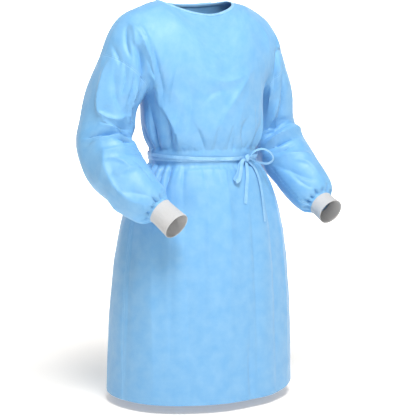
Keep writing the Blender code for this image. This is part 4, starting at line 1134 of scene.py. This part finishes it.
def make_knit_loops():
    """Cuff coordinates in metres in; a mask of the knitted loops out."""
    measures = (("Wale", 0.0012), ("Course", 0.0010))
    tree, into, out = new_group("knit_loops", "Cut", measures, ("Loops", "Fuzz"))
    split = node(tree, "ShaderNodeSeparateXYZ")
    tree.links.new(into.outputs["Cut"], split.inputs[0])
    across = math_node(tree, "DIVIDE", split.outputs[0], into.outputs["Wale"])
    lean = math_node(tree, "MULTIPLY", math_node(tree, "PINGPONG", across, 0.5), 1.2)
    rows = math_node(tree, "ADD", math_node(tree, "DIVIDE", split.outputs[1], into.outputs["Course"]), lean)
    waves = []
    for operation, turns in (("SINE", rows), ("COSINE", across)):
        wave = math_node(tree, operation, math_node(tree, "MULTIPLY", turns, 2 * math.pi))
        waves.append(math_node(tree, "MULTIPLY", wave, 0.5))
    loops = math_node(tree, "ADD", *waves)
    connect(tree, out, {"Loops": loops, "Fuzz": noise_node(tree, into.outputs["Cut"], 1400.0, 2.0)})
    return tree


def make_knit_material():
    made, shader = plain_material("white_knit", KNIT_WHITE, 0.9)
    tree = made.node_tree
    knit = use_group(tree, make_knit_loops(), "cut")
    # the knit is darker between its loops: partly the real gaps of the knit, partly painted shade in those
    # hollows
    shade = ramp(tree, knit.outputs["Loops"], -1.0, 0.4)
    colour = mix_colour(tree, shade, KNIT_SHADE, KNIT_WHITE)
    fuzz = math_node(tree, "MULTIPLY", ramp(tree, knit.outputs["Fuzz"], 0.5, 0.8), 0.4)
    connect(tree, shader, {"Base Color": mix_colour(tree, fuzz, colour, KNIT_FUZZ)})
    fuzz_height = math_node(tree, "MULTIPLY", knit.outputs["Fuzz"], 0.6)
    add_bump(tree, shader, math_node(tree, "ADD", knit.outputs["Loops"], fuzz_height), 0.5, 0.0002)
    set_inputs(shader, {"Specular IOR Level": 0.2, "Sheen Weight": 0.3, "Sheen Roughness": 0.6})
    return made


KNIT = make_knit_material()

# %% Build the cuffs
CUFF_ENDS = {
    # axis and length
    SLEEVE_R: ((0.264, -0.797, -0.540), 0.070),
    SLEEVE_L: ((0.070, -0.890, -0.450), 0.047),
}
CUFF_PROFILE = ((0.0, 1.0), (0.09, 0.965), (0.46, 0.985), (0.96, 1.03), (1.0, 1.035))
CUFF_WALL = 0.0016
CUFF_RIM = 0.0012
RIBS = 64
RIB_HEIGHT = 0.00045
# how far the knit is doubled at the open end, and how thick it is where it isn't
DOUBLED = 0.009
SINGLE = 0.72
CUFF_ROWS = 44
CUFFS = (("right_cuff", "cuff_right", SLEEVE_R), ("left_cuff", "cuff_left", SLEEVE_L))


def rim_share(into_rim):
    """How thick the wall is at a share of the way into the rounded rim."""
    return math.sqrt(max(0.08, 1 - into_rim**2)) if into_rim > 0 else 1.0


def make_cuff(name, piece):
    points, normals, grids, _ = FORM
    ring = points[grids[piece][:ARM_COLUMNS * STEP, -1]]
    axis, length = CUFF_ENDS[piece]
    middle, axis = ring.mean(0), unit(np.array(axis))
    around = RIBS * 4
    turns = np.arange(around + 1) / around
    k = turns * len(ring)
    low = np.floor(k).astype(int)
    part = (k - low)[:, None]
    base = ring[low % len(ring)] * (1 - part) + ring[(low + 1) % len(ring)] * part
    out = base - middle
    out -= np.outer(out @ axis, axis)
    out /= np.linalg.norm(out, axis=1)[:, None]
    rib = 0.5 + 0.5 * np.cos(2 * math.pi * RIBS * turns)
    along = np.linspace(0, 1, CUFF_ROWS) ** 0.9
    along = np.concatenate((along * (length - 0.0015), [length - 0.0006, length]))
    outer, inner = [], []
    for n, a in enumerate(along):
        arm = (base - middle) * np.interp(a / length, *zip(*CUFF_PROFILE))
        arm -= np.outer(arm @ axis, axis) * a / length
        centre = middle + arm + axis * (a + 0.0003)
        round_edge = rim_share((a - (length - CUFF_RIM)) / CUFF_RIM)
        doubled = 1.0 if a > length - DOUBLED else SINGLE
        dent = 0.35 * math.exp(-(((a - (length - DOUBLED)) / 0.0012) ** 2))
        gather = 0.8 * math.exp(-a / 0.003)
        wall = CUFF_WALL / 2 * doubled * (1 - dent) * round_edge
        ridge = RIB_HEIGHT * (rib - 0.5) * round_edge * (1 - 0.5 * gather)
        outer.append(centre + out * (wall + ridge)[:, None])
        inner.append(centre - out * (wall - ridge * 0.6)[:, None])
    outer, inner = np.array(outer).swapaxes(0, 1), np.array(inner).swapaxes(0, 1)
    run = lengths_along(outer, 0)
    cut = np.stack((run, np.broadcast_to(along[None], run.shape)), -1)
    made = shell(name, outer, inner, cut, np.ones_like(cut), KNIT, True, piece == SLEEVE_L)
    made.data.set_sharp_from_angle(angle=math.radians(89))
    girth = float(run[-1].mean())
    print(f"{name}: {girth * 1000:.0f} mm round, {length * 1000:.0f} mm long, {RIBS} ribs")
    return made, girth, length


for name, node_name, piece in CUFFS:
    made, girth, length = make_cuff(name, piece)
    dress(made, node_name)

# %% [markdown]
# ## The neck binding
#
# A bias strip is folded over the raw neck edge and stitched down close to its lower fold. Being cut
# on the bias it turns the curve without pleats. It is made as a soft round-edged channel that runs
# along the neck edge, thicker at the fold, with a stitch row near each leg's edge.

# %% Build the binding
BINDING_WIDTH = 0.0078
BINDING_OUT = 0.0021
# one leg of the channel from its lower fold up: place down the cloth, and share of the way out
BINDING_LEG = (
    (BINDING_WIDTH, 0.55), (BINDING_WIDTH - 0.0006, 0.95), (BINDING_WIDTH - 0.0018, 0.86),
    (BINDING_WIDTH - 0.0030, 1.0), (0.0030, 1.05), (0.0010, 1.0), (0.0, 0.80), (-0.0008, 0.45),
)


def neck_path():
    """Round the neck edge from the free edge of the right back, by the front, to that of the left back."""
    _, _, grids, _ = FORM
    right, left = overlap_offset(1), overlap_offset(-1)
    path = [(BACK, c, right(c / STEP, 0)) for c in range(RIGHT_BACK_EDGE * STEP, 4 * STEP, -1)]
    path += [(FRONT, c, 0.0) for c in range(4 * STEP, 8 * STEP + 1)]
    path += [(BACK, c, left(c / STEP, 0)) for c in range(8 * STEP - 1, LEFT_BACK_EDGE * STEP - 1, -1)]
    return path


def smooth_rows(values, times):
    """Evens a run of points or directions along its length, ends kept."""
    values = np.array(values)
    for _ in range(times):
        values[1:-1] = (values[:-2] + 2 * values[1:-1] + values[2:]) / 4
    return values


def lofted(name, rings, material):
    """A smooth closed tube through rings of equal count, with its cut places in metres.

    The rings are turned over where they run the other way, so the faces always point out.
    """
    rings = np.array(rings)
    middles = rings.mean(1)
    spokes = rings - middles[:, None]
    areas = np.cross(spokes, np.roll(spokes, -1, axis=1)).sum(1)
    if (areas[:-1] * np.diff(middles, axis=0)).sum() < 0:
        rings = rings[:, ::-1]
    count, around = rings.shape[:2]
    faces = []
    for n in range(count - 1):
        for k in range(around):
            faces.append((n * around + k, n * around + (k + 1) % around,
                          (n + 1) * around + (k + 1) % around, (n + 1) * around + k))
    faces.append(tuple(range(around))[::-1])
    faces.append(tuple((count - 1) * around + k for k in range(around)))
    made = mesh_object(name, rings.reshape(-1, 3), faces)
    shape = made.data
    loop = np.concatenate((rings, rings[:, :1]), 1)
    around_run = lengths_along(loop, 1)
    along = lengths_along(rings.mean(1)[:, None], 0)[:, 0]
    cut = shape.uv_layers.new(name="cut")
    values = []
    for face in faces[:(count - 1) * around]:
        n, k = divmod(face[0], around)
        values += [around_run[n, k], along[n], around_run[n, k + 1], along[n],
                   around_run[n + 1, k + 1], along[n + 1], around_run[n + 1, k], along[n + 1]]
    for face in faces[(count - 1) * around:]:
        for v in face:
            values += [around_run[0, v % around], along[v // around]]
    cut.data.foreach_set("uv", np.array(values, np.float32))
    shape.set_sharp_from_angle(angle=math.radians(75))
    shape.materials.append(material)
    return made, float(along[-1])


def make_binding():
    points, normals, grids, _ = FORM
    edges, facings, aways = [], [], []
    path = neck_path()
    for piece, column, off in path:
        grid = grids[piece]
        edge, normal = points[grid[column, 0]], normals[grid[column, 0]]
        rows = min(3, grid.shape[1] - 1)
        away = points[grid[column, rows]] - edge
        edges.append(edge + normal * off)
        facings.append(normal)
        aways.append(away)
    edges, facings = smooth_rows(edges, 2), smooth_rows(facings, 6)
    along = np.gradient(edges, axis=0)
    aways = np.array([a - t * (a @ t) / (t @ t) for a, t in zip(aways, along)])
    aways = smooth_rows([unit(a) for a in aways], 6)
    facings = np.array([unit(f - unit(a) * (f @ unit(a))) for f, a in zip(facings, aways)])
    profile = [(t, share * BINDING_OUT) for t, share in BINDING_LEG]
    profile += [(-0.0010, 0.0)] + [(t, -out) for t, out in profile[::-1]]
    rings = []
    for n, (edge, facing, away) in enumerate(zip(edges, facings, aways)):
        pucker = 0.00012 * math.sin(n * 1.9) + 0.0001 * math.sin(n * 0.7)
        rings.append([edge + unit(away) * t + facing * (out + math.copysign(pucker, out) if out else 0.0)
                      for t, out in profile])
    return lofted("neck_edge_binding", rings, TAPE)


binding, binding_length = make_binding()
dress(binding, "neck_binding")
print(f"binding: {binding_length:.3f} m long")

# %% [markdown]
# ## The belt
#
# The belt is a folded and stitched tape. It goes twice round the waist: the turns lie one above the
# other at the back, and cross in front on the way to the knot. A tape is lofted along its path
# through sections with rounded edges and a shallow groove where its stitching pulls it in.

# %% Places on the body and the two turns
UP = np.array((0, 0, 1.0))
KNOT_COLUMN = 7.45
AIR = 0.0007
BELT_TAPE = 0.0012
BELT_WIDTH = 0.0100
BELT_TURNS = (
    # name, node, height at the right side seam, height at the knot, how far out, start, end
    ("belt_turn_lower", "belt_lower", -0.0052, -0.0045, 0.0, 7.54, 31.36),
    ("belt_turn_upper", "belt_upper", 0.0052, -0.0065, 0.0016, 7.52, 31.38),
)
# column behind, and how far the belt stands off where the backs lap
OVER_THE_OVERLAP = ((3.0, 0.0), (4.8, 0.0017), (7.2, 0.0017), (8.6, 0.0))
TAPE_WIDTH = 0.0120


def round_body(values, column, row):
    """values at a place counted right round the body: 0 to 12 in front, 12 to 24 behind."""
    column %= 2 * HALF
    if column <= HALF:
        return sample(values, GRIDS[FRONT], column, row)
    return sample(values, GRIDS[BACK], 2 * HALF - column, row)


def belt_frame(column):
    """A place under the belt and its directions there: along the belt and out of it."""
    facing = unit(round_body(FORM[1], column, BELT_ROW) * (1, 1, 0))
    return round_body(FORM[0], column, BELT_ROW), np.array((-facing[1], facing[0], 0.0)), facing


def tape_rings(path, widths, facings, sizes, thick):
    """Sections of a stitched tape: rounded edges, and a groove a tenth of its width in from each."""
    half = [(0.485, 0.36), (0.45, 0.50), (0.41, 0.36), (0.36, 0.48), (0.15, 0.52)]
    profile = [(0.50, 0.0), *half, *((-w, f) for w, f in half[::-1])]
    profile += [(-w, -f) for w, f in profile]
    rings = []
    for p, w, f, size in zip(path, widths, facings, sizes):
        w, f = unit(w), unit(f)
        rings.append([p + w * size * a + f * thick * b for a, b in profile])
    return rings


def make_belt_turn(name, side_height, knot_height, out, start, end):
    room = SOLID_WALL / 2 + AIR + BELT_TAPE / 2
    count = round((end - start) * 12)
    path, facings, widths = [], [], []
    for n in range(count + 1):
        column = start + (end - start) * n / count
        place, _, facing = belt_frame(column)
        to_knot = abs((column - KNOT_COLUMN + HALF) % (2 * HALF) - HALF)
        heights = (knot_height, knot_height, side_height, side_height)
        height = np.interp(to_knot, (0, 0.5, 7.5, 12), heights)
        over = np.interp(column % (2 * HALF) - HALF, *zip(*OVER_THE_OVERLAP))
        wave = 0.00025 * math.sin(column * 5.1 + out * 900)
        path.append(place + facing * (room + out + over) + UP * (height + wave))
        facings.append(facing)
        widths.append(UP + facing * 0.05 * math.sin(column * 3.3 + out * 500))
    path, facings = smooth_rows(path, 6), smooth_rows(facings, 12)
    thick = BELT_TAPE * 1.15
    return lofted(name, tape_rings(path, widths, facings, [BELT_WIDTH] * len(path), thick), TAPE)


for name, node_name, side_height, knot_height, out, start, end in BELT_TURNS:
    made, length = make_belt_turn(name, side_height, knot_height, out, start, end)
    dress(made, node_name)
    print(f"{name}: {length:.3f} m long, {BELT_WIDTH * 1000:.1f} mm wide")

# %% [markdown]
# ## Knot, bow and free ends
#
# The tape's ends are tied left of the middle. One loop stands free of the skirt and shows its inside,
# the other lies nearly shut against the cloth, and two free ends hang down. Each is one tape along a
# smooth curve, drawn together where it enters the knot.

# %% Build the bow
# the free loop's line from the knot in millimetres: along the belt, out of it and up
FREE_LOOP = (
    (10.8, 5.5, 3), (24, 13, 18), (44, 26, 24), (63, 38, 14), (71, 44, -1),
    (66, 42, -13), (50, 33, -18), (28, 20, -12), (10.8, 7.5, -3),
)
# share of the tape's width at the knot and at the next two places
DRAWN_IN = (0.40, 0.60, 0.85)
HANGING = (
    # name, node, the columns and rows of the cloth it hangs on, and how far it stands off it in millimetres
    ("closed_loop", "bow_loop_left",
     ((7.195, 7.13, 7.5), (6.86, 7.50, 6), (6.35, 7.88, 4), (6.06, 8.05, 4), (6.02, 8.14, 8),
      (6.16, 8.10, 12), (6.45, 7.88, 13), (6.90, 7.46, 13), (7.195, 7.18, 10.5))),
    ("short_end", "tail_short",
     ((7.34, 7.38, 9.2), (7.24, 7.6, 6), (6.98, 8.0, 3), (6.72, 8.35, 2), (6.50, 8.75, 1))),
    ("long_end", "tail_long",
     ((7.60, 7.33, 6.5), (7.92, 7.64, 4), (7.98, 8.1, 3), (7.80, 8.6, 2), (7.62, 9.2, 1))),
)
KNOT_HEIGHT = 0.020
KNOT_DEPTH = 0.011
KNOT_DROP = 0.0055
FREE_LOOP_TURN = -0.7


def smooth_path(points, per_span):
    """Points along a smooth curve through the given ones."""
    points = [2 * points[0] - points[1], *points, 2 * points[-1] - points[-2]]
    line = []
    for a, b, c, d in zip(points, points[1:], points[2:], points[3:]):
        for n in range(per_span):
            t = n / per_span
            line.append(0.5 * (2 * b + (c - a) * t + (2 * a - 5 * b + 4 * c - d) * t**2
                               + (3 * b - a - 3 * c + d) * t**3))
    return line + [points[-2]]


def headings(path):
    """The direction of a path at each of its points."""
    last = len(path) - 1
    return [unit(path[min(n + 1, last)] - path[max(n - 1, 0)]) for n in range(len(path))]


def knot_frame():
    """The knot's place and its directions: along the belt and out of it."""
    place, along, facing = belt_frame(KNOT_COLUMN)
    out = SOLID_WALL / 2 + AIR + 2 * BELT_TAPE + AIR + KNOT_DEPTH / 2
    return place + facing * out - UP * KNOT_DROP, along, facing


def make_tape(name, points, across, comes_back, twist=0.0):
    path = smooth_path(points, 9)
    steps = headings(path)
    widths = [unit(across - t * t.dot(across)) for t in steps]
    facings = [np.cross(w, t) for w, t in zip(widths, steps)]
    sizes = []
    for n in range(len(path)):
        place = min(n, len(path) - 1 - n) if comes_back else n
        drawn = float(np.interp(place / 3, (0, 1, 2, 3), (*DRAWN_IN, 1.0)))
        sizes.append(TAPE_WIDTH * drawn)
        turn = twist * math.sin(math.pi * n / (len(path) - 1))
        w, f = widths[n], facings[n]
        widths[n] = w * math.cos(turn) + f * math.sin(turn)
        facings[n] = f * math.cos(turn) - w * math.sin(turn)
    return lofted(name, tape_rings(path, widths, facings, sizes, BELT_TAPE * 1.1), TAPE)


def make_knot():
    """A rounded wrap of tape with pleats, wider across its middle than where the tapes leave it."""
    middle, along, facing = knot_frame()
    rings = []
    for n in range(25):
        s = -1 + 2 * n / 24
        sideways = 0.0095 * s
        size = (1 - abs(s) ** 3.0 * 0.55) * (1 - 0.10 * math.exp(-((abs(s) - 0.55) / 0.12) ** 2))
        centre = middle + along * sideways + UP * 0.0010 * math.sin(3 * s)
        ring = []
        for k in range(40):
            a = 2 * math.pi * k / 40
            pleat = 1 + 0.035 * math.sin(5 * a + 2.2 * s) + 0.02 * math.sin(9 * a - 3 * s)
            high = math.copysign(abs(math.sin(a)) ** 0.8, math.sin(a)) * KNOT_HEIGHT / 2
            deep = math.copysign(abs(math.cos(a)) ** 0.8, math.cos(a)) * KNOT_DEPTH / 2
            ring.append(centre + (UP * high + facing * deep) * size * pleat)
        rings.append(ring)
    return lofted("tied_knot", rings, TAPE)[0]


knot = make_knot()
dress(knot, "knot")
middle, along, facing = knot_frame()
base = middle - facing * KNOT_DEPTH / 2
loop_points = [base + (along * a + facing * f + UP * z) / 1000 for a, f, z in FREE_LOOP]
loop_middle = sum(loop_points) / len(loop_points)
loop_across = sum(np.cross(p - loop_middle, q - loop_middle) for p, q in zip(loop_points, loop_points[1:]))
free_loop, loop_length = make_tape("free_loop", loop_points, loop_across, True, FREE_LOOP_TURN)
dress(free_loop, "bow_loop_right")
for name, node_name, places in HANGING:
    facings = [round_body(FORM[1], column, row) for column, row, _ in places]
    hang_points = [round_body(FORM[0], column, row) + f * (SOLID_WALL / 2 + off / 1000)
                   for (column, row, off), f in zip(places, facings)]
    across = np.cross(hang_points[len(hang_points) // 2] - hang_points[0], sum(facings))
    made, length = make_tape(name, hang_points, across, "loop" in name)
    dress(made, node_name)
    print(f"{name}: {length * 1000:.0f} mm long")

# %% [markdown]
# ## Thread loops and the closure tab
#
# At each side seam a chain of thread holds the belt up. At the back of the neck a short hook and loop
# tab closes the lap: a white woven strip, stitched all round.

# %% Build the thread loops
# the chain's line in millimetres, out of the cloth and up
BELT_LOOP = ((0.0, 24), (6.5, 21), (10.0, 12), (10.0, -12), (6.5, -21), (0.0, -24))
THREAD_LOOPS = (("right_thread_loop", "belt_loop_right", 0), ("left_thread_loop", "belt_loop_left", HALF))


def make_thread_loop(name, column):
    place, along, facing = belt_frame(column)
    middle = place + facing * SOLID_WALL / 2
    points = []
    for out, up in BELT_LOOP:
        cloth = round_body(FORM[0], column, BELT_ROW - up / 40)
        rise = max(0.0, (cloth - middle).dot(facing) + 0.0016) if out == 0 else 0.0
        points.append(middle + facing * (out / 1000 + rise) + UP * (up / 1000))
    path = smooth_path(points, 14)
    rings = []
    for n, (p, step) in enumerate(zip(path, headings(path))):
        out = np.cross(step, along)
        link = 1 + 0.22 * math.cos(math.pi * n)
        rings.append([p + (along * 0.0015 * link * math.cos(a) + out * 0.0007 * math.sin(a))
                      for a in np.arange(10) * math.pi / 5])
    return lofted(name, rings, TAPE)


for name, node_name, column in THREAD_LOOPS:
    made, length = make_thread_loop(name, column)
    dress(made, node_name)
    print(f"{name}: {length * 1000:.0f} mm of thread chain")

# %% Build the tab
# column, and how much of the way up to the right back's surface the tab lies there
TAB_COLUMNS = ((6.25, 1), (6.6, 1), (6.94, 1), (7.09, 0.9), (7.27, 0.2), (7.42, 0), (7.75, 0))
TAB_ROWS = (0.55, 1.2)
TAB_THICKNESS = 0.001
TAB_WHITE, TAB_SHADE, TAB_PALE = (0.80, 0.84, 0.88), (0.66, 0.72, 0.78), (0.88, 0.91, 0.94)


def make_tab_material():
    made, shader = plain_material("woven_tab", TAB_WHITE, 0.75)
    tree = made.node_tree
    cut = node(tree, "ShaderNodeUVMap", uv_map="cut")
    loops = node(tree, "ShaderNodeTexNoise")
    loops.inputs["Scale"].default_value = 900.0
    tree.links.new(cut.outputs[0], loops.inputs["Vector"])
    colour = mix_colour(tree, loops.outputs["Fac"], TAB_SHADE, TAB_PALE)
    tree.links.new(colour, shader.inputs["Base Color"])
    add_bump(tree, shader, loops.outputs["Fac"], 0.6, 0.0003)
    return made


def make_tab():
    points, normals = FORM[:2]
    right, left = overlap_offset(1), overlap_offset(-1)
    columns = np.linspace(TAB_COLUMNS[0][0], TAB_COLUMNS[-1][0], 49)
    rows = np.linspace(TAB_ROWS[0], TAB_ROWS[1], 25)
    outer, inner = [], []
    for column in columns:
        share = float(np.interp(column, *zip(*TAB_COLUMNS)))
        outer.append([])
        inner.append([])
        for row in rows:
            normal = unit(sample(normals, GRIDS[BACK], column, row))
            off = float(right(column, row) * share + left(column, row) * (1 - share))
            edge = min(column - columns[0], columns[-1] - column,
                       (row - rows[0]) * 1.5, (rows[-1] - row) * 1.5)
            stitched = 0.0003 * math.exp(-(((edge - 0.09) / 0.03) ** 2))
            point = sample(points, GRIDS[BACK], column, row) + normal * (off + SOLID_WALL / 2 + 0.0012)
            inner[-1].append(point)
            outer[-1].append(point + normal * (TAB_THICKNESS - stitched))
    outer, inner = np.array(outer), np.array(inner)
    cut = np.stack((lengths_along(outer, 0), lengths_along(outer, 1)), -1)
    made = shell("closure_tab", outer, inner, cut, np.ones_like(cut), make_tab_material(), False, True)
    return made, float(cut[-1, 0, 0]), float(cut[0, -1, 1])


tab, tab_width, tab_height = make_tab()
dress(tab, "neck_tab")
print(f"tab: {tab_width * 1000:.0f} by {tab_height * 1000:.0f} mm")

# %% [markdown]
# ## The imported model's size
#
# The dressed gown has to keep the imported model's size; the imported model's box is printed.

# %% The imported model's size
print("CAD box:", [[round(v, 3) for v in c] for c in CAD_BOX])
